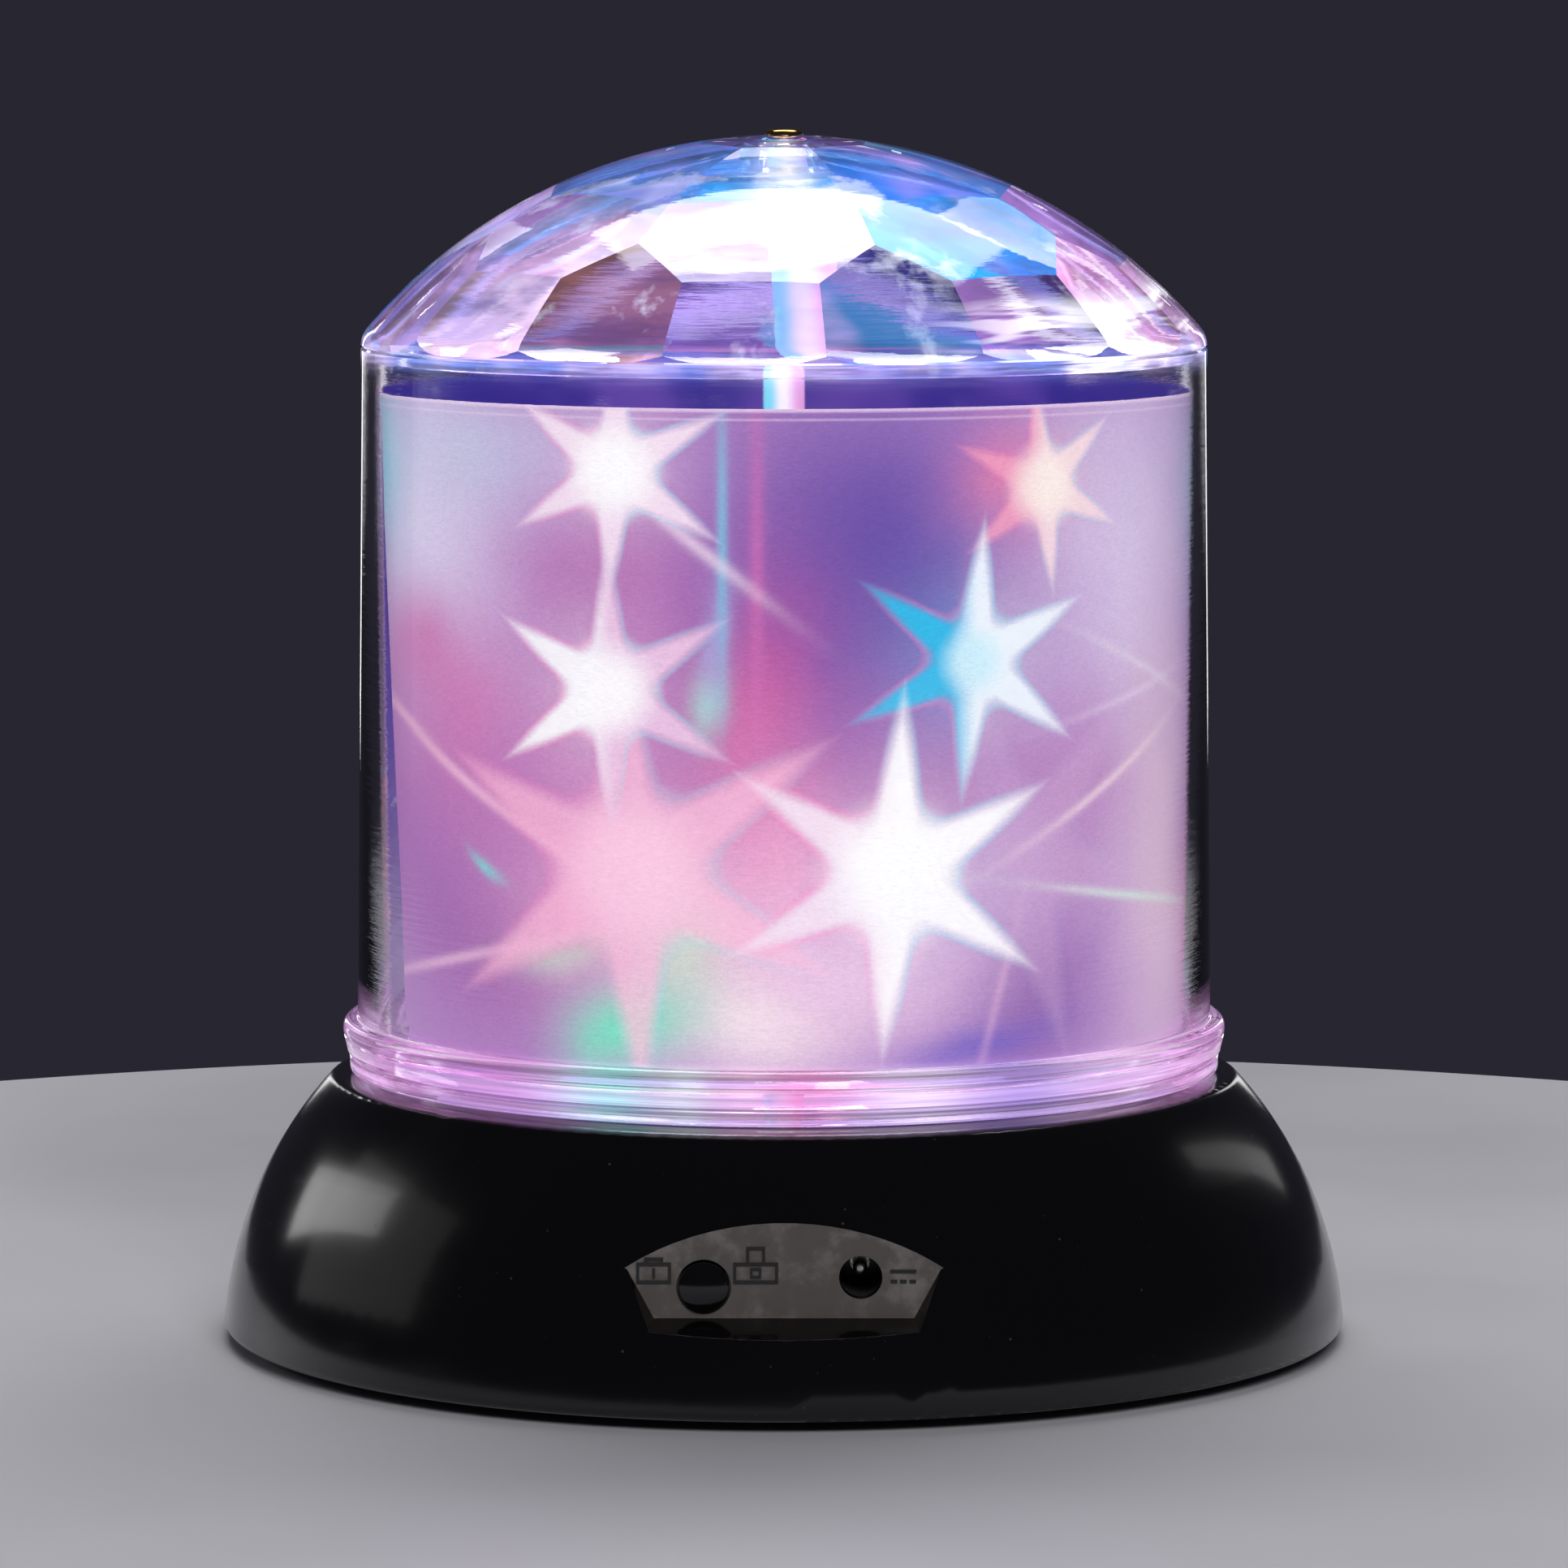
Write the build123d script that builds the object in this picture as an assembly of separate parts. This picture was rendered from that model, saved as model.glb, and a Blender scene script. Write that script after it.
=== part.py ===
from build123d import *
import os
from math import acos, asin, cos, degrees, hypot, pi, radians, sin, sqrt, tan

# Rotating star lamp: a gloss black bowl with the works inside it, and a clear
# drum that turns on a spindle above three coloured lights.
# Millimetres. Z is up, the origin is under the middle of the base on the table,
# and the control panel faces -Y. Angles on the drum are measured from the
# front, positive towards +X.

# ---------------------------------------------------------------- base shell
base_radius = 82.8          # reach of the side's arc at the level of its centre
side_arc_radius = 60.0      # curve of the bowl's side
side_arc_drop = 2.0         # the arc's centre is this far under the table plane
deck_height = 39.2          # flat top of the bowl
housing_wall = 2.2
foot_gap = 1.65             # the bowl's edge stands this far off the table
shoulder_round = 2.2        # edge between the side and the deck
bottom_round = 1.3          # edge at the bowl's foot

# ------------------------------------------------------------- control panel
panel_arch_height = 28.3    # the panel's flat face meets the bowl here
panel_ledge_height = 15.0   # foot of the flat face
panel_ledge_half = 18.0     # half width at the ledge
panel_side_height = 22.1    # the widest point of the face
panel_side_half = 21.8
panel_splay = 18.0          # degrees that the pocket's walls lean outwards
pocket_edge_round = 0.45
button_x = -11.1
button_height = 19.4
button_radius = 3.5
button_stand = 0.75         # straight side of the cap in front of the panel
button_crown = 0.85         # rise of its domed face
button_travel = 2.0
button_gap = 0.3            # round the cap in its hole
button_flange = 0.9         # flange behind the panel, past the hole
button_flange_thickness = 1.0
button_flange_gap = 0.2     # between it and the panel's inner face
jack_x = 10.6
jack_height = 20.7
jack_hole_radius = 3.0
icon_relief = 0.3           # raised symbols on the panel
icon_line = 0.4
icon_foot = 20.1            # foot of the two boxes
icon_box_height = 2.5
icon_tab_half = 1.1
icon_boxes = ((-18.0, 2.2, 0.7, "bar"), (-3.9, 2.9, 2.2, "ring"))  # x, half, tab, mark

# ------------------------------------------------------------------ the drum
drum_gap = 0.8              # running gap between the deck and the drum
ring_height = 2.1
ring_bevel = 0.5
ring_overhang = 1.2        # ring wider than the tube's foot
groove_height = 0.4
groove_depth = 0.4
spigot_height = 4.8         # the ring's upstand inside the tube
spigot_wall = 3.3
flange_height = 5.1
flange_overhang = 2.1      # flange wider than the tube's foot
flange_draft = 0.6          # the flange narrows by this much to its lower edge
flange_round = 1.3
tube_length = 98.4          # from the flange's top to the dome's joint line
tube_head_radius = 61.8
tube_draft = 1.0            # the tube widens by this much to its foot
tube_wall = 2.0
fit_gap = 0.1               # between plugged parts of the drum
pry_notch_angle = -30.0
pry_notch_width = 9.0
pry_notch_depth = 1.6

dome_rise = 30.8            # apex above the joint line
dome_edge_height = 1.6      # plain upright edge under the dome's curve
dome_round = 4.4
lens_thickness = 5.0
skirt_depth = 2.0
skirt_wall = 2.5
dome_boss_radius = 5.5
dome_boss_height = 3.5
notch_rise = 1.1            # height of the pry notch under the groove
facet_face_angle = -5.5     # every row on the dome's inside has a facet centred here
facet_rows = ((0.34, 8), (0.63, 8), (0.91, 16))  # share of edge angle, facets in the row

film_thickness = 0.25
film_top_gap = 6.1          # below the joint line
film_edge_top = -73.0       # the strip's free edge, at its top and its foot
film_edge_foot = -63.0
film_far_edge = -90.0       # where the other end of the strip stops

# --------------------------------------------------------------- the spindle
spindle_radius = 3.0
spindle_spigot_radius = 2.2
spindle_spigot_height = 2.0
journal_radius = 1.5
journal_length = 5.5
screw_bore_radius = 1.25
top_screw_head_radius = 2.85
top_screw_head_height = 1.4
top_screw_sink = 0.7        # spot face in the dome's apex
top_screw_length = 14.0

# ------------------------------------------------------------------ the gears
gear_module = 0.8
gear_teeth = 36
pinion_teeth = 12
gear_addendum = 0.6
pinion_addendum = 0.8
tooth_backlash = 0.14
tooth_root_gap = 0.2
pressure_angle = 20.0
gear_thickness = 4.0
pinion_overhang = 0.7       # the pinion is longer than the gear at both faces
gear_lift = 2.4             # gear above the gearmotor's lid
gear_hub_wall = 2.2
gear_hub_foot = 1.4         # hub below and above the gear's faces
gear_hub_head = 1.2
gear_hole_count = 5
gear_hole_circle = 9.2
gear_hole_radius = 2.0

# ------------------------------------------------------------------ the works
plate_thickness = 2.35
plate_gap = 0.4             # between the bottom cover and the bowl
foot_radius = 6.0
foot_sink = 0.6
foot_inset = 14.5           # foot centre inside the bowl's widest reach
screw_inset = 17.0
boss_radius = 4.0
small_screw_radius = 1.2
small_head_radius = 2.2
small_head_height = 1.1
base_screw_radius = 1.4
base_head_radius = 2.7
base_head_height = 1.2

cell_radius = 7.25
cell_body_length = 49.0
cell_nub_radius = 2.7
cell_nub_length = 1.3
cell_count = 3
cell_gap = 0.5
spring_space = 4.7
spring_radius = 3.2
spring_wire = 0.35
spring_turns = 3
contact_thickness = 0.5
contact_size = 9.0
compartment_wall = 1.5
compartment_front = 12.5    # inner face of the compartment nearest the spindle
door_thickness = 1.9
door_gap = 0.3
door_pin_radius = 0.8
door_pin_length = 1.6
door_pin_gap = 0.06
door_lobe_radius = 4.0      # lobe round the door's screw
door_lobe_reach = 3.4       # its centre in front of the door's edge
door_screw_inset = 6.0
door_boss_radius = 3.0
door_boss_height = 7.0
door_rib_count = 5          # grip grooves across the door
door_rib_pitch = 1.6
door_rib_half = 9.0
door_rib_depth = 0.4

bearing_radius = 4.0
bearing_flange_radius = 5.0
bearing_flange = 0.5
bearing_boss_radius = 7.0
washer_thickness = 0.6
running_gap = 0.05          # round a turning shaft
seat_gap = 0.05             # round a bush or a bearing in its seat

motor_case_width = 25.0
motor_case_depth = 21.0
motor_case_height = 9.0
motor_case_lift = 8.5       # case above the bottom cover
motor_case_back = 8.0       # case reaches this far behind the shaft
motor_lid_height = 1.5
motor_can_radius = 10.0
motor_can_thickness = 15.2
motor_can_length = 25.0
output_shaft_radius = 2.0
lug_radius = 3.2
lug_height = 2.0
motor_case_wall = 1.5
lid_collar_wall = 1.6       # raised collar round the output shaft
lid_collar_height = 0.8
lid_rivet_radius = 1.2      # four rivets at the lid's corners
lid_rivet_inset = 2.6
lid_rivet_height = 0.5
motor_boss_radius = 3.0
motor_boss_length = 1.6

led_circle = 14.0
led_radius = 2.5
led_flange_radius = 2.9
led_flange_height = 1.0
led_height = 8.6
reflector_radius = 34.0
reflector_thickness = 2.0
deck_opening_radius = 27.0
reflector_gap = 0.2
reflector_seat_height = 3.2
standoff_height = 2.6
standoff_circle = 20.0
standoff_radius = 2.4
dish_rim = 1.6              # dish round each light: foot, flare and depth
dish_flare = 2.0
dish_depth = 1.2
led_board_radius = 25.0
board_thickness = 1.6
collar_radius = 7.0
collar_height = 2.2
bush_radius = 4.8
bush_flange_radius = 6.2
bush_flange = 1.0

socket_width = 9.0
socket_length = 13.0
socket_snout_radius = 4.3
socket_snout_length = 1.3
socket_slot_half = 1.2
socket_bore_radius = 3.15
socket_bore_depth = 10.6
socket_pin_radius = 1.0
socket_pin_setback = 7.5    # pin tip behind the panel's face
socket_pin_root = 1.35      # thicker part held by the body
socket_slot_front = 3.0     # slot of the spring leaf
socket_slot_back = 9.5
switch_size = 8.6
switch_length = 12.0
switch_setback = 4.5        # switch body behind the panel's inner face
plunger_size = 3.0
plunger_gap = 0.2
control_board_width = 46.0
control_board_depth = 21.0
control_board_gap = 1.5     # board edge behind the panel's inner face
control_post_x = 18.5
chip_size = (6.4, 5.0, 1.6)
chip_inset = 3.0            # chip in front of the board's rear edge
capacitor_radius = 2.5
capacitor_height = 7.5
capacitor_inset = 12.0
resistor_size = (1.6, 3.2, 0.6)
resistor_places = (-5.5, 11.9)
lead_diameter = 1.6

# ------------------------------------------------------------- worked-out sizes
side_centre_radius = base_radius - side_arc_radius
tube_foot_radius = tube_head_radius + tube_draft
ring_radius = tube_foot_radius + ring_overhang
flange_radius = tube_foot_radius + flange_overhang
plate_top = foot_gap + plate_thickness
ring_bottom = deck_height + drum_gap
groove_bottom = ring_bottom + ring_height
flange_bottom = groove_bottom + groove_height
flange_top = flange_bottom + flange_height
tube_top = flange_top + tube_length
tube_foot_bore = tube_foot_radius - tube_wall
tube_head_bore = tube_head_radius - tube_wall

dome_sagitta = dome_rise - dome_edge_height
dome_radius = (tube_head_radius ** 2 + dome_sagitta ** 2) / (2 * dome_sagitta)
dome_apex = tube_top + dome_rise
dome_centre = dome_apex - dome_radius
dome_edge_angle = degrees(asin(tube_head_radius / dome_radius))
lens_apex = dome_apex - lens_thickness
boss_foot = lens_apex - dome_boss_height
skirt_radius = tube_head_bore - fit_gap
skirt_bore = skirt_radius - skirt_wall

film_radius = tube_head_bore - 2 * fit_gap
film_foot = groove_bottom + spigot_height
film_top = tube_top - film_top_gap

bearing_seat = plate_top + 1.0
bearing_top = bearing_seat + journal_length + bearing_flange
spindle_foot = bearing_top + washer_thickness
case_foot = plate_top + motor_case_lift
case_top = case_foot + motor_case_height + motor_lid_height
gear_foot = case_top + gear_lift
gear_head = gear_foot + gear_thickness
shaft_spacing = gear_module * (gear_teeth + pinion_teeth) / 2
shaft_x = -shaft_spacing

box_length = cell_body_length + cell_nub_length + spring_space + 2 * contact_thickness
box_half = box_length / 2
box_width = cell_count * 2 * cell_radius + (cell_count + 1) * cell_gap
box_back = compartment_front + box_width
cell_rest = plate_top + 0.1
cell_axis = cell_rest + cell_radius
box_ceiling = cell_rest + 2 * cell_radius + 0.6
door_foot = foot_gap + 0.1
door_axis_height = door_foot + door_thickness / 2
door_front = compartment_front - compartment_wall
door_back = box_back + compartment_wall
door_half = box_half + compartment_wall
door_axis_y = door_back - door_thickness / 2

reflector_foot = deck_height - reflector_thickness
board_top = reflector_foot - standoff_height
board_foot = board_top - board_thickness
seat_foot = reflector_foot - reflector_seat_height
bush_top = deck_height + collar_height
bush_foot = board_foot


def side_point(height, inset=0.0):
    """Point (radius, height) of the bowl's side, a wall's inset inside it."""
    reach = side_arc_radius - inset
    rise = height + side_arc_drop
    return (side_centre_radius + sqrt(reach ** 2 - rise ** 2), height)


panel_plane = side_point(panel_arch_height)[0]
panel_back = panel_plane - housing_wall
switch_front = panel_back - switch_setback
foot_circle = base_radius - foot_inset
screw_circle = base_radius - screw_inset
control_board_top = button_height - switch_size / 2
control_board_front = panel_back - control_board_gap
control_post_y = control_board_front - control_board_depth + 3.5


def bowl_section(low, high, inset):
    """Half section of the bowl between two heights."""
    middle = (low + high) / 2
    side = ThreePointArc(
        side_point(low, inset), side_point(middle, inset), side_point(high, inset)
    )
    rest = Polyline(side_point(high, inset), (0, high), (0, low), side_point(low, inset))
    return make_face([*side.edges(), *rest.edges()])


def turned(*points):
    """Body of revolution about Z from a half section of straight lines."""
    outline = Polyline(*points, close=True)
    return revolve(Plane.XZ * make_face(outline.edges()), Axis.Z)


def rod(radius, low, high, x=0.0, y=0.0):
    """Upright cylinder between two heights."""
    return Pos(x, y, (low + high) / 2) * Cylinder(radius, high - low)


def tube(outer, inner, low, high, x=0.0, y=0.0):
    """Upright tube between two heights."""
    return rod(outer, low, high, x, y) - rod(inner, low - 1, high + 1, x, y)


def block(x0, x1, y0, y1, z0, z1):
    """Box between three pairs of limits."""
    middle = Pos((x0 + x1) / 2, (y0 + y1) / 2, (z0 + z1) / 2)
    return middle * Box(x1 - x0, y1 - y0, z1 - z0)


def bar_y(radius, y0, y1, x, z):
    """Cylinder along Y between two depths."""
    return Pos(x, (y0 + y1) / 2, z) * Rot(90, 0, 0) * Cylinder(radius, y1 - y0)


def bar_x(radius, x0, x1, y, z):
    """Cylinder along X between two ends."""
    return Pos((x0 + x1) / 2, y, z) * Rot(0, 90, 0) * Cylinder(radius, x1 - x0)


def on_circle(radius, angle):
    """Place on a circle, the angle measured from the front towards +X."""
    return (radius * sin(radians(angle)), -radius * cos(radians(angle)))


def screw(radius, head_radius, head_height, head_face, tip):
    """Pan head screw along Z: under-head face and tip heights, head away from the tip."""
    away = 1 if head_face > tip else -1
    shank = rod(radius, min(head_face, tip), max(head_face, tip))
    crown = head_face + away * head_height
    head = rod(head_radius, min(head_face, crown), max(head_face, crown))
    rim = head.edges().filter_by(GeomType.CIRCLE).sort_by(Axis.Z)
    head = fillet(rim[-1 if away > 0 else 0], head_height * 0.45)
    slot = Pos(0, 0, crown) * Box(head_radius * 1.3, head_radius * 0.24, head_height * 0.7)
    cross = Pos(0, 0, crown) * Box(head_radius * 0.24, head_radius * 1.3, head_height * 0.7)
    return shank + head - slot - cross


# ----------------------------------------------------------------- base shell
def pocket(grow, near, far):
    """Splayed prism of the panel pocket, grown by a wall, between two depths."""
    slope = (panel_side_half - panel_ledge_half) / (panel_side_height - panel_ledge_height)
    top = deck_height + 4
    top_half = panel_ledge_half + slope * (top - panel_ledge_height)
    face = Plane.XZ * make_face(
        Polyline(
            (-panel_ledge_half, panel_ledge_height),
            (panel_ledge_half, panel_ledge_height),
            (top_half, top),
            (-top_half, top),
            close=True,
        ).edges()
    )
    if grow:
        face = offset(face, grow, kind=Kind.INTERSECTION)
    placed = Pos(0, -near, 0) * face
    return extrude(placed, far - near, dir=(0, -1, 0), taper=-panel_splay)


def symbol_strokes():
    """Raised strokes beside the button and the jack: (x, z, width, height)."""
    line = icon_line
    strokes = []
    for centre, half, tab, mark in icon_boxes:
        foot = icon_foot
        top = foot + icon_box_height
        middle = (foot + top) / 2
        for side in (-1, 1):
            strokes.append((centre + side * half, middle, line, icon_box_height + line))
            strokes.append((centre + side * icon_tab_half, top + tab / 2, line, tab + line))
        strokes.append((centre, foot, 2 * half + line, line))
        strokes.append((centre, top, 2 * half + line, line))
        strokes.append((centre, top + tab, 2 * icon_tab_half + line, line))
        if mark == "bar":
            strokes.append((centre, middle, line, icon_box_height * 0.55))
        else:
            for side in (-1, 1):
                strokes.append((centre + side * 0.6, middle, line * 0.8, icon_box_height * 0.55))
                strokes.append((centre, middle + side * 0.55, 1.2, line * 0.8))
    current = jack_x + 5.9
    strokes.append((current, jack_height + 0.9, 3.6, line))
    for step in (-1, 0, 1):
        strokes.append((current + step * 1.3, jack_height - 0.5, 0.9, line))
    return strokes


def base_housing():
    """The bowl: side, deck, panel pocket, seat of the reflector and screw bosses."""
    section = Plane.XZ * bowl_section(foot_gap, deck_height, 0.0)
    corners = [v for v in section.vertices() if v.X > base_radius / 4]
    corners.sort(key=lambda v: v.Z)
    section = fillet(corners[0], min(bottom_round, housing_wall * 0.6))
    corners = [v for v in section.vertices() if v.X > base_radius / 4]
    corners.sort(key=lambda v: (v.Z, v.X))
    section = fillet(corners[-1], min(shoulder_round, housing_wall))
    outer = revolve(section, Axis.Z)
    inner_top = deck_height - housing_wall
    inner = revolve(Plane.XZ * bowl_section(foot_gap - 1, inner_top, housing_wall), Axis.Z)
    shell = outer - inner
    extras = rod(reflector_radius + 2.0, seat_foot, inner_top + 0.5)
    for turn in range(4):
        x, y = on_circle(screw_circle, 45 + 90 * turn)
        extras += rod(boss_radius, plate_top, inner_top + 0.5, x, y)
    backing = pocket(housing_wall, panel_back, base_radius + 4)
    backing &= block(-60, 60, -base_radius - 5, -panel_back, plate_top + 1.5, deck_height + 5)
    shell += outer & (extras + backing)
    shell -= pocket(0, panel_plane, base_radius + 4)
    if pocket_edge_round > 0:
        rim = [
            e
            for e in shell.edges()
            if e.center().Y < -panel_plane - 0.05
            and panel_ledge_height - 4 < e.center().Z < panel_side_height + 1
            and abs(e.center().X) < panel_side_half + 3
            and abs(hypot(e.center().X, e.center().Y) - side_point(e.center().Z)[0]) < 1.2
        ]
        shell = fillet(rim, pocket_edge_round)
    shell -= rod(deck_opening_radius, seat_foot - 1, deck_height + 1)
    shell -= rod(reflector_radius + reflector_gap, reflector_foot, deck_height + 1)
    for turn in range(4):
        x, y = on_circle(screw_circle, 45 + 90 * turn)
        shell -= rod(base_screw_radius + seat_gap, plate_top - 1, plate_top + 13, x, y)
    for turn in range(3):
        x, y = on_circle((deck_opening_radius + reflector_radius) / 2, 120 * turn)
        shell -= rod(small_screw_radius + seat_gap, seat_foot - 1, deck_height, x, y)
    reach = panel_plane + 3
    shell -= bar_y(button_radius + button_gap, -reach, -panel_back + 3, button_x, button_height)
    shell -= bar_y(jack_hole_radius, -reach, -panel_back + 3, jack_x, jack_height)
    face = -panel_plane
    for x, z, width, height in symbol_strokes():
        shell += block(
            x - width / 2, x + width / 2, face - icon_relief, face + 0.4, z - height / 2, z + height / 2
        )
    return shell


# --------------------------------------------------------------- bottom cover
def lug_places():
    """Centres of the gearmotor's two lugs."""
    left = (shaft_x - motor_case_width / 2 - lug_radius + 0.6, -2.0)
    front = (shaft_x + motor_case_width / 2 + 0.4, motor_case_back - motor_case_depth - 1.9)
    return (left, front)


def base_plate():
    """Bottom cover with the battery compartment, its door opening and the posts."""
    plate_radius = side_point(foot_gap, housing_wall)[0] - plate_gap
    plate = rod(plate_radius, foot_gap, plate_top)
    wall = compartment_wall
    box = block(
        -box_half - wall, box_half + wall, compartment_front - wall, box_back + wall,
        plate_top - 0.5, box_ceiling + wall,
    )
    body = plate + box + rod(bearing_boss_radius, plate_top - 0.5, bearing_top - bearing_flange)
    for x, y in lug_places():
        body += rod(lug_radius, plate_top - 0.5, case_foot, x, y)
    for side in (-1, 1):
        body += rod(
            lug_radius, plate_top - 0.5, control_board_top - board_thickness,
            side * control_post_x, -control_post_y,
        )
    body -= block(
        -box_half, box_half, compartment_front, box_back, door_foot + door_thickness, box_ceiling
    )
    body -= block(
        -door_half - door_gap, door_half + door_gap, door_front - door_gap, door_back + door_gap,
        foot_gap - 1, door_foot + door_thickness + 0.1,
    )
    for side in (-1, 1):
        start = side * (door_half + door_gap - 0.1)
        end = side * (door_half + door_pin_length + 0.2)
        body -= bar_x(
            door_pin_radius + door_pin_gap, min(start, end), max(start, end),
            door_axis_y, door_axis_height,
        )
    body -= rod(bearing_radius + seat_gap, bearing_seat, bearing_top + 1)
    for turn in range(4):
        x, y = on_circle(foot_circle, 90 * turn)
        body -= rod(foot_radius + 0.2, foot_gap - 1, foot_gap + foot_sink, x, y)
        x, y = on_circle(screw_circle, 45 + 90 * turn)
        body -= rod(base_screw_radius + 0.2, foot_gap - 1, plate_top + 1, x, y)
        body -= rod(base_head_radius + 0.3, foot_gap - 1, foot_gap + base_head_height + 0.3, x, y)
    for x, y in lug_places():
        body -= rod(small_screw_radius + seat_gap, case_foot - 6, case_foot + 1, x, y)
    for side in (-1, 1):
        low = control_board_top - board_thickness - 6
        body -= rod(
            small_screw_radius + seat_gap, low, control_board_top,
            side * control_post_x, -control_post_y,
        )
    x, y = door_screw_place()
    body += tube_boss(x, y)
    return body


def door_screw_place():
    """Centre of the battery door's screw, in a lobe at the door's front edge."""
    return (box_half - door_screw_inset, door_front - door_lobe_reach)


def tube_boss(x, y):
    """Blind boss above the bottom cover that takes the door's screw."""
    top = plate_top + door_boss_height
    boss = rod(door_boss_radius, plate_top - 0.2, top, x, y)
    return boss - rod(small_screw_radius + seat_gap, plate_top - 1, top - 1, x, y)


def battery_door():
    """Door with a rounded hinge edge, two snap pins and a screw lobe."""
    slab = block(
        -door_half, door_half, door_front, door_axis_y, door_foot, door_foot + door_thickness
    )
    edge = bar_x(door_thickness / 2, -door_half, door_half, door_axis_y, door_axis_height)
    door = slab + edge
    for side in (-1, 1):
        start = side * (door_half - 1)
        end = side * (door_half + door_pin_length)
        door += bar_x(door_pin_radius, min(start, end), max(start, end), door_axis_y, door_axis_height)
    x, y = door_screw_place()
    door += rod(door_lobe_radius, door_foot, door_foot + door_thickness, x, y)
    door -= rod(small_screw_radius + 0.2, door_foot - 1, door_foot + 3, x, y)
    door -= rod(small_head_radius + 0.3, door_foot - 1, door_foot + small_head_height + 0.1, x, y)
    for rib in range(door_rib_count):
        y = door_front + 10 + rib * door_rib_pitch
        door -= block(
            -door_rib_half, door_rib_half, y, y + door_rib_pitch / 2,
            door_foot - 1, door_foot + door_rib_depth,
        )
    return door


def plate_with_lobe(body):
    """Opens the bottom cover for the door's screw lobe."""
    x, y = door_screw_place()
    lobe = rod(door_lobe_radius + door_gap, foot_gap - 1, door_foot + door_thickness + 0.1, x, y)
    hole = rod(
        small_screw_radius + seat_gap, door_foot, plate_top + door_boss_height - 1, x, y
    )
    return body - lobe - hole


def battery_door_screw():
    """Captive screw of the battery door."""
    x, y = door_screw_place()
    face = door_foot + small_head_height + 0.1
    body = screw(small_screw_radius, small_head_radius, small_head_height, face, plate_top + 5)
    return Pos(x, y, 0) * body


def feet():
    """Four rubber feet, by place."""
    made = {}
    for turn, place in enumerate(("front", "right", "rear", "left")):
        x, y = on_circle(foot_circle, 90 * turn)
        pad = rod(foot_radius, 0, foot_gap + foot_sink, x, y)
        rim = pad.edges().filter_by(GeomType.CIRCLE).sort_by(Axis.Z)[0]
        made["foot_" + place] = fillet(rim, 0.5)
    return made


def base_screws():
    """Four screws that hold the bottom cover."""
    face = foot_gap + base_head_height + 0.3
    body = screw(base_screw_radius, base_head_radius, base_head_height, face, plate_top + 11)
    places = [on_circle(screw_circle, 45 + 90 * turn) for turn in range(4)]
    return [Pos(x, y, 0) * body for x, y in places]


# ------------------------------------------------------------------ batteries
def cell_y(index):
    """Middle of one cell across the compartment."""
    return compartment_front + cell_gap + cell_radius + index * (2 * cell_radius + cell_gap)


def cell_facing(index):
    """Direction that a cell's nub points in: the cells alternate."""
    return 1 if index % 2 == 0 else -1


def battery_cell(index):
    """One AA cell with its nub."""
    facing = cell_facing(index)
    tip = facing * (box_half - contact_thickness)
    collar = tip - facing * cell_nub_length
    back = collar - facing * cell_body_length
    y = cell_y(index)
    body = bar_x(cell_radius, min(collar, back), max(collar, back), y, cell_axis)
    body = fillet(body.edges().filter_by(GeomType.CIRCLE), 0.6)
    return body + bar_x(cell_nub_radius, min(collar, tip), max(collar, tip), y, cell_axis)


def contact_plate(index, side):
    """Sprung steel plate on one end wall, in front of one cell."""
    outer = side * box_half
    inner = outer - side * contact_thickness
    half = contact_size / 2
    y = cell_y(index)
    return block(
        min(outer, inner), max(outer, inner), y - half, y + half, cell_axis - half, cell_axis + half
    )


def battery_contacts():
    """Flat contacts at the nub end of each cell."""
    return [contact_plate(index, cell_facing(index)) for index in range(cell_count)]


def battery_springs():
    """Coil contacts at the flat end of each cell."""
    made = []
    for index in range(cell_count):
        side = -cell_facing(index)
        height = spring_space - spring_wire
        coil_line = Helix(pitch=height / spring_turns, height=height, radius=spring_radius)
        start = coil_line @ 0
        ring = Plane(origin=start, z_dir=coil_line % 0) * Circle(spring_wire)
        coil = sweep(ring, path=coil_line, is_frenet=True)
        turned_coil = Rot(0, -90 * side, 0) * coil
        inner = side * (box_half - contact_thickness)
        made.append(contact_plate(index, side) + Pos(inner, cell_y(index), cell_axis) * turned_coil)
    return made


# ------------------------------------------------------------------ gearmotor
def gearmotor_case():
    """Lower case of the gearmotor with its two lugs."""
    x0 = shaft_x - motor_case_width / 2
    y1 = motor_case_back
    case = block(
        x0, x0 + motor_case_width, y1 - motor_case_depth, y1, case_foot, case_foot + motor_case_height
    )
    case = fillet(case.edges().filter_by(Axis.Z), 2.0)
    hollow = block(
        x0 + motor_case_wall, x0 + motor_case_width - motor_case_wall,
        y1 - motor_case_depth + motor_case_wall, y1 - motor_case_wall,
        case_foot + motor_case_wall, case_foot + motor_case_height + 1,
    )
    for x, y in lug_places():
        case += rod(lug_radius, case_foot, case_foot + lug_height, x, y)
    case -= hollow
    for x, y in lug_places():
        case -= rod(small_screw_radius + 0.2, case_foot - 1, case_foot + 5, x, y)
    neck = motor_can_radius * 0.5
    y0 = y1 - motor_case_depth
    case -= bar_y(neck, y0 - 1, y0 + 2.5, shaft_x, case_foot + motor_case_height / 2 + 0.2)
    return case


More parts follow.
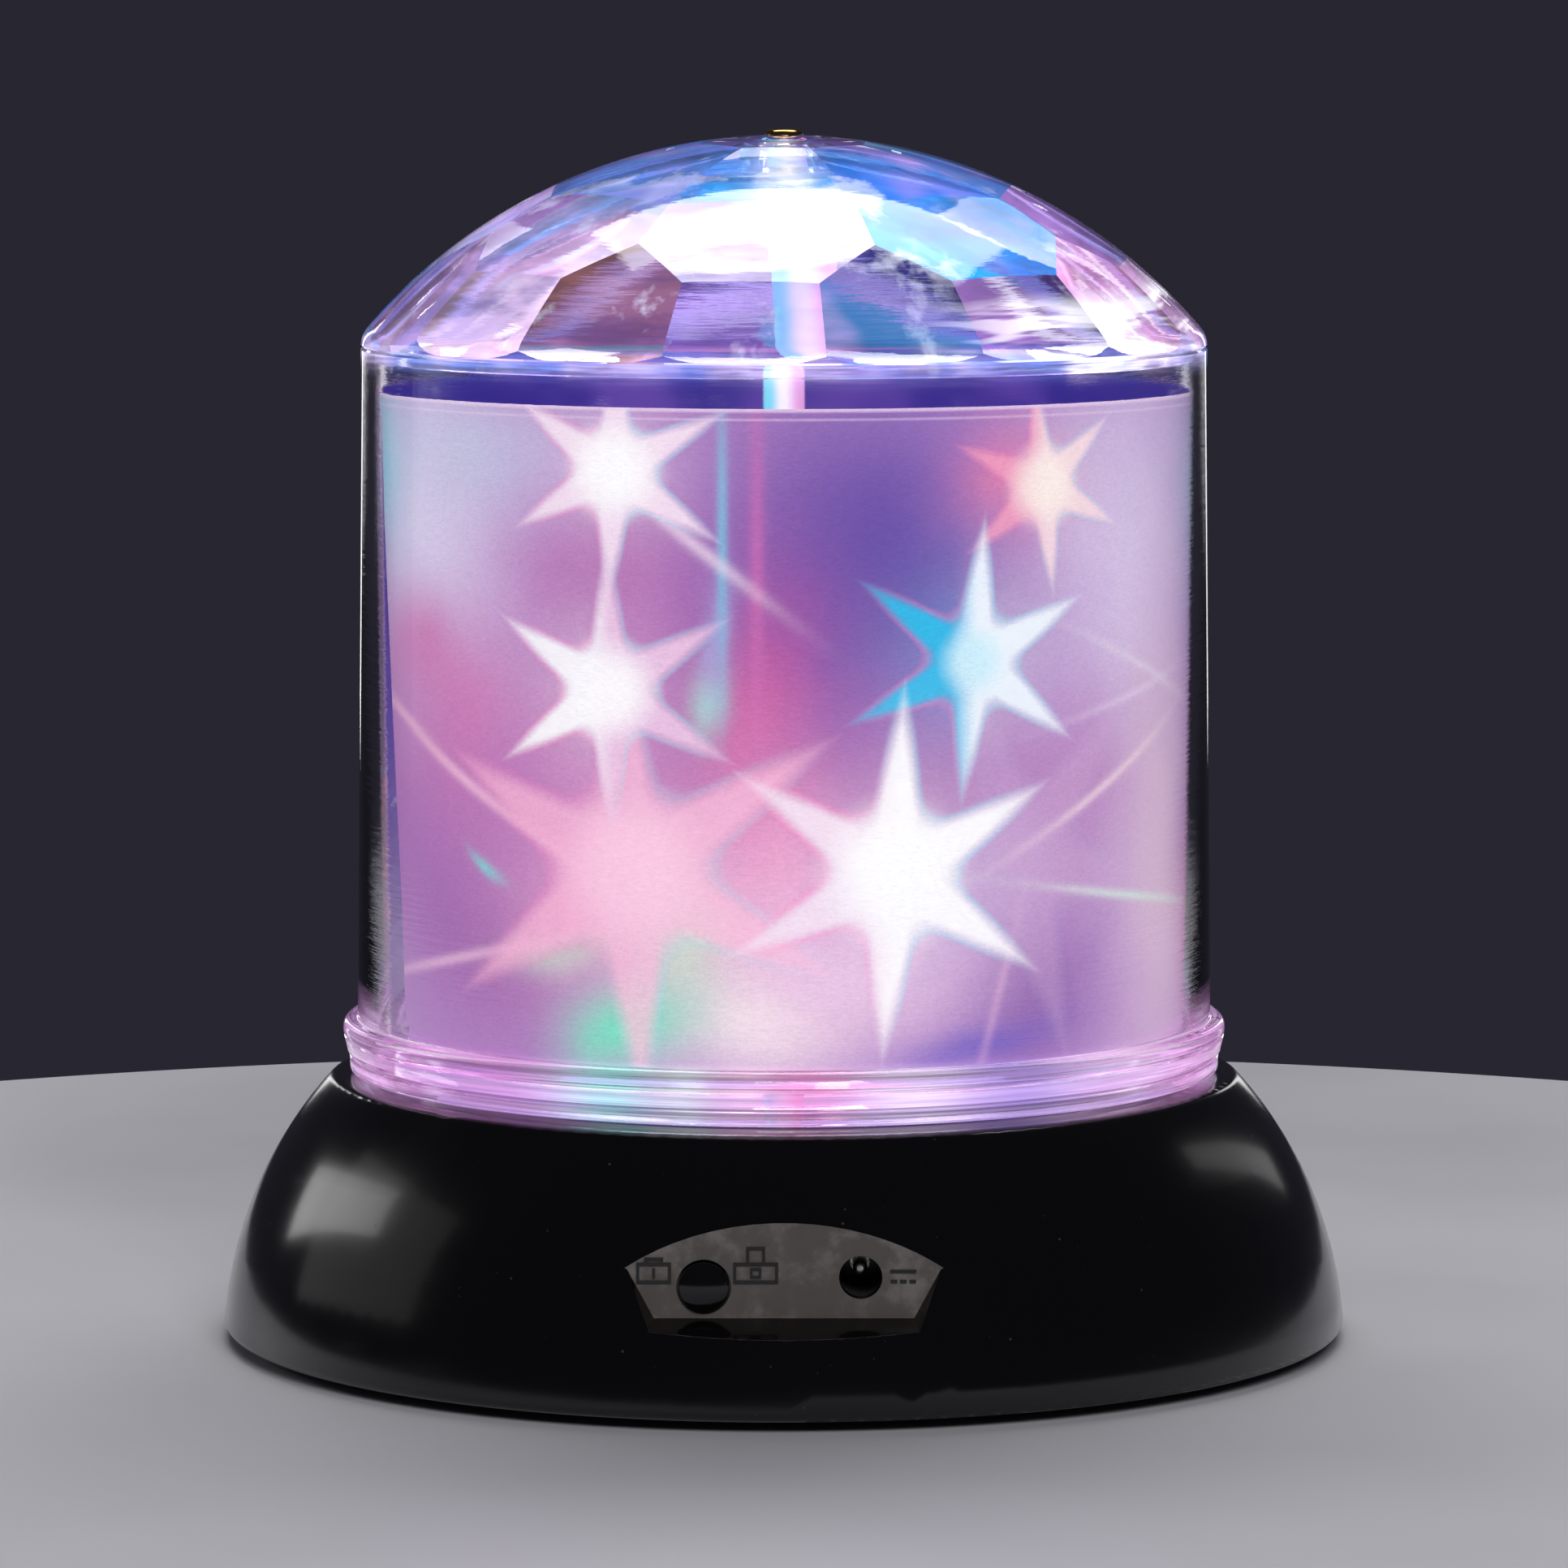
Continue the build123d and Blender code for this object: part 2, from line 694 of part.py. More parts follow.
def gearmotor_lid():
    """Lid of the gearmotor with the bearing of the output shaft."""
    x0 = shaft_x - motor_case_width / 2
    y1 = motor_case_back
    low = case_foot + motor_case_height
    lid = block(x0, x0 + motor_case_width, y1 - motor_case_depth, y1, low, low + motor_lid_height)
    lid = fillet(lid.edges().filter_by(Axis.Z), 2.0)
    lid += rod(
        output_shaft_radius + lid_collar_wall, case_top - 0.2, case_top + lid_collar_height, shaft_x, 0
    )
    lid -= rod(output_shaft_radius + running_gap, low - 1, case_top + 2, shaft_x, 0)
    for dx in (-1, 1):
        for dy in (-1, 1):
            x = shaft_x + dx * (motor_case_width / 2 - lid_rivet_inset)
            y = y1 - motor_case_depth / 2 + dy * (motor_case_depth / 2 - lid_rivet_inset)
            lid += rod(lid_rivet_radius, case_top - 0.2, case_top + lid_rivet_height, x, y)
    return lid


def motor_can():
    """Flat-sided motor can with its end boss."""
    y1 = motor_case_back - motor_case_depth
    z = case_foot + motor_case_height / 2 + 0.2
    can = bar_y(motor_can_radius, y1 - motor_can_length, y1, shaft_x, z)
    half = motor_can_thickness / 2
    can &= block(
        shaft_x - 20, shaft_x + 20, y1 - motor_can_length - 1, y1 + 1, z - half, z + half
    )
    rear = y1 - motor_can_length
    return can + bar_y(motor_boss_radius, rear - motor_boss_length, rear + 0.2, shaft_x, z)


def gearmotor_screws():
    """Screws through the gearmotor's lugs."""
    face = case_foot + lug_height
    body = screw(small_screw_radius, small_head_radius, small_head_height, face, case_foot - 5)
    return [Pos(x, y, 0) * body for x, y in lug_places()]


def output_shaft():
    """Turning shaft of the gearmotor."""
    return rod(output_shaft_radius, case_foot + 2, gear_head + pinion_overhang + 0.5, shaft_x, 0)


# ---------------------------------------------------------------------- gears
def involute_outline(teeth, addendum, root_radius):
    """Closed outline of a spur gear with involute flanks, one tooth centred on +X."""
    pitch_radius = gear_module * teeth / 2
    base = pitch_radius * cos(radians(pressure_angle))
    tip = pitch_radius + addendum
    lean = tan(radians(pressure_angle)) - radians(pressure_angle)
    half_tooth = (pi * gear_module / 2 - tooth_backlash) / 2 / pitch_radius + lean
    steps = 5
    flank = []
    start = max(base, root_radius + 0.01)
    for step in range(steps + 1):
        radius = start + (tip - start) * step / steps
        roll = acos(base / radius)
        flank.append((radius, half_tooth - (tan(roll) - roll)))
    flank = [(root_radius, flank[0][1])] + flank
    points = []
    for tooth in range(teeth):
        middle = 2 * pi * tooth / teeth
        for radius, swing in flank:
            points.append((radius * cos(middle - swing), radius * sin(middle - swing)))
        for radius, swing in reversed(flank):
            points.append((radius * cos(middle + swing), radius * sin(middle + swing)))
    return make_face(Polyline(*points, close=True).edges())


def spindle_gear():
    """Large gear on the spindle, a gap between teeth facing the pinion."""
    root = shaft_spacing - (gear_module * pinion_teeth / 2 + pinion_addendum) - tooth_root_gap
    blank = extrude(involute_outline(gear_teeth, gear_addendum, root), gear_thickness)
    gear = Pos(0, 0, gear_foot) * Rot(0, 0, 180 / gear_teeth) * blank
    gear += rod(spindle_radius + gear_hub_wall, gear_foot - gear_hub_foot, gear_head + gear_hub_head)
    for hole in range(gear_hole_count):
        x, y = on_circle(gear_hole_circle, 360 / gear_hole_count * hole)
        gear -= rod(gear_hole_radius, gear_foot - 1, gear_head + 1, x, y)
    return gear - rod(spindle_radius + 0.02, gear_foot - 3, gear_head + 3)


def motor_pinion():
    """Small gear on the gearmotor's shaft, a tooth facing the spindle."""
    root = shaft_spacing - (gear_module * gear_teeth / 2 + gear_addendum) - tooth_root_gap
    length = gear_thickness + 2 * pinion_overhang
    blank = extrude(involute_outline(pinion_teeth, pinion_addendum, root), length)
    pinion = Pos(shaft_x, 0, gear_foot - pinion_overhang) * blank
    return pinion - rod(output_shaft_radius + 0.02, gear_foot - 3, gear_head + 3, shaft_x, 0)


# -------------------------------------------------------------- spindle group
def spindle():
    """Spindle with its lower journal, the spigot for the dome and a screw bore."""
    body = turned(
        (0, bearing_seat + 0.2), (journal_radius, bearing_seat + 0.2),
        (journal_radius, spindle_foot), (spindle_radius, spindle_foot),
        (spindle_radius, boss_foot), (spindle_spigot_radius, boss_foot),
        (spindle_spigot_radius, boss_foot + spindle_spigot_height),
        (0, boss_foot + spindle_spigot_height),
    )
    return body - rod(screw_bore_radius, boss_foot - 12, boss_foot + 10)


def top_screw():
    """Round-head screw that holds the dome down on the spindle."""
    face = dome_apex - top_screw_sink
    body = rod(screw_bore_radius - 0.05, face - top_screw_length, face + 0.2)
    head = rod(top_screw_head_radius, face, face + top_screw_head_height)
    rim = head.edges().filter_by(GeomType.CIRCLE).sort_by(Axis.Z)[-1]
    head = fillet(rim, top_screw_head_height * 0.8)
    crown = face + top_screw_head_height
    long_arm = top_screw_head_radius * 1.15
    short_arm = top_screw_head_radius * 0.26
    cross = Pos(0, 0, crown) * (Box(long_arm, short_arm, 1.1) + Box(short_arm, long_arm, 1.1))
    return body + head - cross


def pivot_bearing():
    """Flanged cup in the bottom cover that the spindle's journal turns in."""
    shell = rod(bearing_radius, bearing_seat, bearing_top)
    shell += rod(bearing_flange_radius, bearing_top - bearing_flange, bearing_top)
    return shell - rod(journal_radius + running_gap, bearing_seat + 0.2, bearing_top + 1)


def thrust_washer():
    """Slippery washer under the spindle's shoulder."""
    return tube(bearing_radius, journal_radius + 0.15, bearing_top, spindle_foot)


def spindle_bush():
    """Flanged bush in the reflector's collar."""
    bush = rod(bush_radius, bush_foot, bush_top + 0.1)
    bush += rod(bush_flange_radius, bush_top, bush_top + bush_flange)
    return bush - rod(spindle_radius + running_gap, bush_foot - 1, bush_top + 3)


# ------------------------------------------------------------ lights and board
def led_angle(index):
    """Place of a light round the spindle."""
    return 30 + 120 * index


def reflector_plate():
    """White plate round the spindle with a dish at each light and three posts."""
    plate = rod(reflector_radius, reflector_foot, deck_height)
    plate += rod(collar_radius, bush_foot + 1, bush_top)
    for index in range(3):
        x, y = on_circle(standoff_circle, led_angle(index) + 60)
        plate += rod(standoff_radius, board_top, reflector_foot + 0.5, x, y)
    for index in range(3):
        x, y = on_circle(led_circle, led_angle(index))
        rim = led_radius + dish_rim
        dish = turned((0, 0), (rim, 0), (rim + dish_flare, dish_depth + 0.1), (0, dish_depth + 0.1))
        plate -= Pos(x, y, deck_height - dish_depth) * dish
        plate -= rod(led_flange_radius + 0.2, reflector_foot - 1, deck_height, x, y)
        x, y = on_circle(standoff_circle, led_angle(index) + 60)
        plate -= rod(small_screw_radius + seat_gap, board_top - 1, deck_height - 0.8, x, y)
        x, y = on_circle((deck_opening_radius + reflector_radius) / 2, 120 * index)
        plate -= rod(small_screw_radius + 0.2, reflector_foot - 1, deck_height + 1, x, y)
        plate -= rod(
            small_head_radius + 0.2, deck_height - small_head_height, deck_height + 1, x, y
        )
    return plate - rod(bush_radius + seat_gap, bush_foot - 1, bush_top + 1)


def reflector_screws():
    """Screws that hold the reflector on its seat."""
    face = deck_height - small_head_height
    body = screw(
        small_screw_radius, small_head_radius, small_head_height * 0.9, face, seat_foot + 0.3
    )
    circle = (deck_opening_radius + reflector_radius) / 2
    return [Pos(*on_circle(circle, 120 * index), 0) * body for index in range(3)]


def led_board():
    """Round board of the lights."""
    board = tube(led_board_radius, collar_radius + 0.5, board_foot, board_top)
    for index in range(3):
        x, y = on_circle(standoff_circle, led_angle(index) + 60)
        board -= rod(small_screw_radius + 0.2, board_foot - 1, board_top + 1, x, y)
    return board


def led_board_screws():
    """Screws through the round board into the reflector's posts."""
    body = screw(
        small_screw_radius, small_head_radius, small_head_height, board_foot, board_top + 3.4
    )
    places = [on_circle(standoff_circle, led_angle(index) + 60) for index in range(3)]
    return [Pos(x, y, 0) * body for x, y in places]


def led(index):
    """Round-nosed light on the board."""
    x, y = on_circle(led_circle, led_angle(index))
    nose = board_top + led_height
    body = rod(led_radius, board_top, nose, x, y)
    body = fillet(body.edges().filter_by(GeomType.CIRCLE).sort_by(Axis.Z)[-1], led_radius * 0.96)
    return body + rod(led_flange_radius, board_top, board_top + led_flange_height, x, y)


def led_resistors():
    """One chip resistor beside each light."""
    made = []
    for index in range(3):
        x, y = on_circle(led_circle + 7.5, led_angle(index))
        deep, wide, tall = resistor_size
        made.append(
            block(x - wide / 2, x + wide / 2, y - deep / 2, y + deep / 2, board_top, board_top + tall)
        )
    return made


# -------------------------------------------------------------- control board
def control_board():
    """Board that carries the switch and the jack behind the panel."""
    half = control_board_width / 2
    front = -control_board_front
    back = front + control_board_depth
    low = control_board_top - board_thickness
    board = block(-half, half, front, back, low, control_board_top)
    notch = button_radius + button_gap + button_flange + 0.6
    reach = -panel_back + button_flange_gap + button_flange_thickness + button_travel + 0.5
    board -= block(
        button_x - notch, button_x + notch, front - 1, reach, low - 1, control_board_top + 1
    )
    for side in (-1, 1):
        board -= rod(
            small_screw_radius + 0.2, low - 1, control_board_top + 1,
            side * control_post_x, -control_post_y,
        )
    return board


def control_board_screws():
    """Screws of the control board."""
    tip = control_board_top - board_thickness - 5
    body = screw(small_screw_radius, small_head_radius, small_head_height, control_board_top, tip)
    return [Pos(side * control_post_x, -control_post_y, 0) * body for side in (-1, 1)]


def board_components():
    """Timer chip, capacitor and two resistors on the control board."""
    top = control_board_top
    back = -control_board_front + control_board_depth
    wide, deep, tall = chip_size
    chip_back = back - chip_inset
    chip = block(-wide / 2, wide / 2, chip_back - deep, chip_back, top, top + tall)
    capacitor = rod(capacitor_radius, top, top + capacitor_height, 0.0, back - capacitor_inset)
    parts = [chip, capacitor]
    wide, deep, tall = resistor_size
    for x in resistor_places:
        parts.append(block(x - wide / 2, x + wide / 2, back - 1.2 - deep, back - 1.2, top, top + tall))
    return parts


def dc_socket_body():
    """Moulded body of the jack, bored for the plug."""
    front = -panel_back
    back = front + socket_length
    half = socket_width / 2
    body = block(
        jack_x - half, jack_x + half, front + socket_snout_length, back,
        control_board_top, jack_height + half,
    )
    body += bar_y(socket_snout_radius, front, front + socket_length / 2, jack_x, jack_height)
    bore = bar_y(socket_bore_radius, front - 1, front + socket_bore_depth, jack_x, jack_height)
    hole = bar_y(socket_pin_root + 0.02, front + 1, back + 1, jack_x, jack_height)
    slot = block(
        jack_x - socket_slot_half, jack_x + socket_slot_half,
        front + socket_slot_front, front + socket_slot_back,
        jack_height + socket_bore_radius - 0.4, jack_height + half + 2,
    )
    return body - bore - hole - slot


def dc_socket_pin():
    """Centre pin of the jack."""
    tip = -panel_plane + socket_pin_setback
    floor = -panel_back + socket_bore_depth
    back = -panel_back + socket_length
    pin = bar_y(socket_pin_radius, tip, back, jack_x, jack_height)
    pin += bar_y(socket_pin_root, floor, back + 0.6, jack_x, jack_height)
    nose = pin.edges().filter_by(GeomType.CIRCLE).sort_by(Axis.Y)[0]
    return fillet(nose, 0.6)


def dc_socket_contact():
    """Spring leaf in the jack's slot."""
    front = -panel_back
    top = jack_height + socket_width / 2
    half = socket_slot_half
    return block(
        jack_x - half, jack_x + half, front + socket_slot_front, front + socket_slot_back,
        top - 0.9, top - 0.4,
    )


def push_switch_body():
    """Latching switch with a square pocket for its plunger."""
    front = -switch_front
    half = switch_size / 2
    body = block(
        button_x - half, button_x + half, front, front + switch_length,
        control_board_top, control_board_top + switch_size,
    )
    body = chamfer(body.edges().filter_by(Axis.Y), 0.6)
    well = plunger_size / 2 + plunger_gap
    return body - block(
        button_x - well, button_x + well, front - 1, front + 4 + button_travel + 1.0,
        button_height - well, button_height + well,
    )


def power_button():
    """Round cap with a domed face and a retaining flange behind the panel."""
    face = panel_plane + button_stand
    crown_radius = (button_radius ** 2 + button_crown ** 2) / (2 * button_crown)
    rim = 0.35
    top = (0, face + button_crown)
    middle_r = button_radius * 0.55
    middle = (middle_r, face + button_crown - crown_radius + sqrt(crown_radius ** 2 - middle_r ** 2))
    outer = (button_radius, face)
    dome = ThreePointArc(top, middle, outer)
    near = panel_back - button_flange_gap
    far = near - button_flange_thickness
    flange = button_radius + button_gap + button_flange
    rest = Polyline(
        outer, (button_radius, near), (flange, near), (flange, far), (0, far), top
    )
    section = make_face([*dome.edges(), *rest.edges()])
    body = revolve(Plane.XZ * section, Axis.Z)
    lip = [e for e in body.edges().filter_by(GeomType.CIRCLE) if abs(e.center().Z - face) < 0.01]
    body = fillet(lip, rim)
    return Pos(button_x, 0, button_height) * Rot(90, 0, 0) * body


def switch_plunger():
    """Square stem between the cap and the switch."""
    half = plunger_size / 2
    front = -(panel_back - button_flange_gap - button_flange_thickness)
    return block(
        button_x - half, button_x + half, front, -switch_front + 4,
        button_height - half, button_height + half,
    )


# ----------------------------------------------------------------------- leads
def lead(points):
    """Round lead along straight runs with the widest tangent arcs that they allow."""
    corners = [Vector(*p) for p in points]
    radii = []
    for before, at, after in zip(corners, corners[1:], corners[2:]):
        arriving = at - before
        leaving = after - at
        turn = arriving.get_angle(leaving)
        shorter = min(arriving.length, leaving.length)
        radii.append(0.45 * shorter / tan(radians(turn) / 2))
    path = FilletPolyline(*corners, radius=radii)
    start = Plane(origin=corners[0], z_dir=corners[1] - corners[0])
    wire = sweep(start * Circle(lead_diameter / 2), path=path)
    expected = pi * (lead_diameter / 2) ** 2 * path.length
    print("lead radii", [round(r, 1) for r in radii], "volume", round(wire.volume / expected, 4))
    return wire


def board_back():
    """Rear edge of the control board and the height of a lead that lies on it."""
    return (-control_board_front + control_board_depth, control_board_top + lead_diameter / 2)


def battery_lead():
    """From the compartment's front wall to the control board."""
    back, height = board_back()
    start = compartment_front - compartment_wall
    return lead(
        [
            (17.0, start, 13.5),
            (17.0, start - 10.0, 13.5),
            (21.0, -10.0, 12.0),
            (23.0, -24.0, 13.0),
            (19.0, back + 10.0, height + 0.6),
            (14.8, back + 1.5, height),
            (13.9, back - 7.0, height),
        ]
    )


def motor_lead():
    """From the motor's end to the control board."""
    back, height = board_back()
    start = motor_case_back - motor_case_depth - motor_can_length
    return lead(
        [
            (shaft_x + 6.0, start, height + 1.4),
            (shaft_x + 6.0, start - 5.0, height + 1.4),
            (shaft_x + 7.6, back + 1.0, height + 0.3),
            (shaft_x + 8.4, back - 4.6, height),
        ]
    )


def led_lead():
    """From the round board down to the control board."""
    back, height = board_back()
    return lead(
        [
            (8.0, -19.0, board_foot),
            (8.0, -19.0, board_foot - 7.5),
            (8.6, -27.0, board_foot - 13.5),
            (9.4, -37.0, board_foot - 15.5),
            (9.0, back + 4.0, height + 0.4),
            (8.4, back - 3.5, height),
        ]
    )


# ------------------------------------------------------------------- the drum
def film_retainer_ring():
    """Clear ring plugged into the tube's foot, which the film stands on."""
    spigot_outer = tube_foot_bore - fit_gap
    spigot_inner = spigot_outer - spigot_wall
    ring = turned(
        (spigot_inner, ring_bottom + ring_bevel), (spigot_inner + ring_bevel, ring_bottom),
        (ring_radius - ring_bevel, ring_bottom), (ring_radius, ring_bottom + ring_bevel),
        (ring_radius, groove_bottom), (ring_radius - groove_depth, groove_bottom),
        (ring_radius - groove_depth, flange_bottom), (spigot_outer, flange_bottom),
        (spigot_outer, film_foot), (spigot_inner, film_foot),
    )
    half = pry_notch_width / 2
    notch = block(
        -half, half, -ring_radius - 2, -ring_radius + pry_notch_depth,
        groove_bottom - notch_rise, flange_bottom + 1,
    )
    return ring - Rot(0, 0, pry_notch_angle) * notch


def drum_tube():
    """Clear tube with a moulded flange at its foot."""
    section = Plane.XZ * make_face(
        Polyline(
            (tube_foot_bore, flange_bottom), (flange_radius - flange_draft, flange_bottom),
            (flange_radius, flange_bottom + flange_height * 0.6), (flange_radius, flange_top),
            (tube_foot_radius, flange_top), (tube_head_radius, tube_top),
            (tube_head_bore, tube_top), close=True,
        ).edges()
    )
    top_edge = [
        v for v in section.vertices() if abs(v.X - flange_radius) < 0.01 and abs(v.Z - flange_top) < 0.01
    ]
    section = fillet(top_edge, flange_round)
    root = [
        v
        for v in section.vertices()
        if abs(v.X - tube_foot_radius) < 0.01 and abs(v.Z - flange_top) < 0.01
    ]
    section = fillet(root, 0.5)
    return revolve(section, Axis.Z)


def lens_hollow():
    """Faceted hollow of the dome: planes tangent to a sphere, in rows."""
    hollow = rod(skirt_bore, tube_top - skirt_depth - 1, lens_apex)
    reach = dome_radius - lens_thickness
    for share, count in facet_rows:
        lean = radians(dome_edge_angle * share)
        for index in range(count):
            x, y = on_circle(1.0, facet_face_angle + 360 / count * index)
            normal = Vector(x * sin(lean), y * sin(lean), cos(lean))
            touch = Vector(0, 0, dome_centre) + normal * reach
            hollow = split(hollow, bisect_by=Plane(origin=touch, z_dir=normal), keep=Keep.BOTTOM)
    return hollow


def dome_lens():
    """Thick clear dome, smooth outside and faceted inside, with a plug skirt."""
    corner_height = tube_top + dome_edge_height
    bow = radians(dome_edge_angle / 2)
    mid = (dome_radius * sin(bow), dome_centre + dome_radius * cos(bow))
    cap = ThreePointArc((0, dome_apex), mid, (tube_head_radius, corner_height))
    foot = tube_top - skirt_depth
    rest = Polyline(
        (tube_head_radius, corner_height), (tube_head_radius, tube_top), (skirt_radius, tube_top),
        (skirt_radius, foot), (0, foot), (0, dome_apex),
    )
    section = Plane.XZ * make_face([*cap.edges(), *rest.edges()])
    edge = [v for v in section.vertices() if abs(v.Z - corner_height) < 0.01 and v.X > 1]
    half_turn = radians(90 - dome_edge_angle) / 2
    section = fillet(edge, min(dome_round, 0.95 * dome_edge_height / tan(half_turn)))
    body = revolve(section, Axis.Z) - lens_hollow()
    body += rod(dome_boss_radius, boss_foot, lens_apex + 1.5)
    body -= rod(spindle_spigot_radius + fit_gap, boss_foot - 1, boss_foot + spindle_spigot_height)
    body -= rod(screw_bore_radius + 0.2, boss_foot, dome_apex + 2)
    return body - rod(top_screw_head_radius + 0.3, dome_apex - top_screw_sink, dome_apex + 2)


def hologram_film():
    """Rolled film strip inside the tube, open between its two upright ends."""
    sleeve = tube(film_radius, film_radius - film_thickness, film_foot, film_top)
    middle = (film_edge_top + film_far_edge) / 2
    foot_side = film_radius * sin(radians(film_edge_foot - middle))
    top_side = film_radius * sin(radians(film_edge_top - middle))
    far_side = film_radius * sin(radians(film_far_edge - middle))
    low = film_foot - 1
    high = film_top + 1
    gap = Plane.XZ * make_face(
        Polyline((foot_side, low), (top_side, high), (far_side, high), (far_side, low), close=True).edges()
    )
    wedge = extrude(Pos(0, -film_radius * 0.6, 0) * gap, film_radius * 0.6, dir=(0, -1, 0))
    return sleeve - Rot(0, 0, middle) * wedge


def build_nodes():
    """Every sub-part by its node's name: one solid, or a list of equal solids."""
    nodes = {
        "base_housing": base_housing(),
        "base_plate": plate_with_lobe(base_plate()),
        "base_screws": base_screws(),
        "battery_contacts": battery_contacts(),
        "battery_springs": battery_springs(),
        "battery_door": battery_door(),
        "battery_door_screw": battery_door_screw(),
        "gearmotor_case": gearmotor_case(),
        "gearmotor_lid": gearmotor_lid(),
        "motor_can": motor_can(),
        "gearmotor_screws": gearmotor_screws(),
        "output_shaft": output_shaft(),
        "motor_pinion": motor_pinion(),
        "pivot_bearing": pivot_bearing(),
        "thrust_washer": thrust_washer(),
        "spindle_bush": spindle_bush(),
        "spindle": spindle(),
        "spindle_gear": spindle_gear(),
        "top_screw": top_screw(),
        "reflector_plate": reflector_plate(),
        "reflector_screws": reflector_screws(),
        "led_board": led_board(),
        "led_board_screws": led_board_screws(),
        "led_resistors": led_resistors(),
        "control_board": control_board(),
        "control_board_screws": control_board_screws(),
        "board_components": board_components(),
        "dc_socket_body": dc_socket_body(),
        "dc_socket_pin": dc_socket_pin(),
        "dc_socket_contact": dc_socket_contact(),
        "push_switch_body": push_switch_body(),
        "power_button": power_button(),
        "switch_plunger": switch_plunger(),
        "battery_lead": battery_lead(),
        "motor_lead": motor_lead(),
        "led_lead": led_lead(),
        "drum_tube": drum_tube(),
        "film_retainer_ring": film_retainer_ring(),
        "dome_lens": dome_lens(),
        "hologram_film": hologram_film(),
    }
    nodes.update(feet())
    for index in range(cell_count):
        nodes[f"battery_cell_{index + 1}"] = battery_cell(index)
    for index, colour in enumerate(("red", "green", "blue")):
        nodes["led_" + colour] = led(index)
    return nodes


os.makedirs("parts", exist_ok=True)
for name, shape in build_nodes().items():
    pieces = shape if isinstance(shape, list) else [shape]
    solids = [solid for piece in pieces for solid in piece.solids()]
    body = solids[0] if len(solids) == 1 else Compound(children=solids)
    body.label = name
    export_step(body, os.path.join("parts", name + ".step"))
    print(name, len(solids))
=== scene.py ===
"""Looks of the rotating star lamp: gloss black base, clear drum, faceted dome and hologram film."""

import logging
import math
from dataclasses import dataclass, field
from enum import Enum

import bpy
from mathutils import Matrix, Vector


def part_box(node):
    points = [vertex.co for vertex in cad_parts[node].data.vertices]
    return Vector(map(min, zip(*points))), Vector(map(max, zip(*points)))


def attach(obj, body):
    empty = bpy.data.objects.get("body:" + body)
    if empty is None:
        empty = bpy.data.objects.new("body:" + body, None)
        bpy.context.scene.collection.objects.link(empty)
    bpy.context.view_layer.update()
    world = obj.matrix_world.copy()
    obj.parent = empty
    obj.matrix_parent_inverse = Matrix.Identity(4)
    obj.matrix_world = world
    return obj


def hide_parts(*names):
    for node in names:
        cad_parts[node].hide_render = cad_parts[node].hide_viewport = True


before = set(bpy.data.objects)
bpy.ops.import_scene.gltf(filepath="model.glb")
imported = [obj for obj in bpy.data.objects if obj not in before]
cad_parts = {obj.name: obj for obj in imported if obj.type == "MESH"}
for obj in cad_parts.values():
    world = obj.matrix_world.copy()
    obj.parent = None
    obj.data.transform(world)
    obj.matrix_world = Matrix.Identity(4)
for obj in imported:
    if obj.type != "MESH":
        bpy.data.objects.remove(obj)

LOG = logging.getLogger("star_lamp")
MM = 0.001

Colour = tuple[float, float, float]
Profile = list[tuple[float, float]]


def tone(red: float, green: float, blue: float) -> Colour:
    """Gives the linear colour of a display tone.

    Args:
        red: Red level, 0 to 255.
        green: Green level, 0 to 255.
        blue: Blue level, 0 to 255.

    Returns:
        The linear colour, each channel 0 to 1.
    """
    levels = [c / 255 for c in (red, green, blue)]
    return tuple(c / 12.92 if c <= 0.04045 else ((c + 0.055) / 1.055) ** 2.4 for c in levels)


def front_place(radius: float, degrees: float, height: float) -> Vector:
    """Gives a point on a circle round the spindle.

    Args:
        radius: Distance from the spindle's axis.
        degrees: Angle from the front, positive towards +X.
        height: Height of the point.

    Returns:
        The point.
    """
    turn = math.radians(degrees)
    return Vector((radius * math.sin(turn), -radius * math.cos(turn), height))


def rounded(corner: tuple[float, float], before: tuple[float, float],
            after: tuple[float, float], radius: float, steps: int) -> Profile:
    """Rounds one corner of a half section.

    Args:
        corner: The sharp corner (radius, height).
        before: The point that the outline comes from.
        after: The point that it goes on to.
        radius: Radius of the round.
        steps: Number of straight steps in it.

    Returns:
        The points of the round, first to last.
    """
    at = Vector(corner)
    back = (Vector(before) - at).normalized()
    ahead = (Vector(after) - at).normalized()
    half = back.angle(ahead) / 2
    centre = at + (back + ahead).normalized() * (radius / math.sin(half))
    start = at + back * (radius / math.tan(half)) - centre
    end = at + ahead * (radius / math.tan(half)) - centre
    sweep = start.angle(end)
    points = []
    for step in range(steps + 1):
        share = step / steps
        mixed = start * math.sin((1 - share) * sweep) + end * math.sin(share * sweep)
        points.append(tuple(centre + mixed / math.sin(sweep)))
    return points


# --------------------------------------------------------------------------- mesh work
def deselect() -> None:
    """Leaves object mode with nothing selected."""
    if bpy.context.object and bpy.context.object.mode != "OBJECT":
        bpy.ops.object.mode_set(mode="OBJECT")
    bpy.ops.object.select_all(action="DESELECT")


def choose(piece: bpy.types.Object) -> None:
    """Makes one piece the only selected and active one."""
    deselect()
    piece.select_set(True)
    bpy.context.view_layer.objects.active = piece


def settle(piece: bpy.types.Object) -> None:
    """Puts a piece's place and size into its mesh."""
    choose(piece)
    bpy.ops.object.transform_apply(location=True, rotation=True, scale=True)


def edit_whole() -> None:
    """Opens the active mesh in edit mode with all of it selected."""
    bpy.ops.object.mode_set(mode="EDIT")
    bpy.ops.mesh.select_all(action="SELECT")


def end_edit() -> None:
    """Goes back to object mode."""
    bpy.ops.object.mode_set(mode="OBJECT")


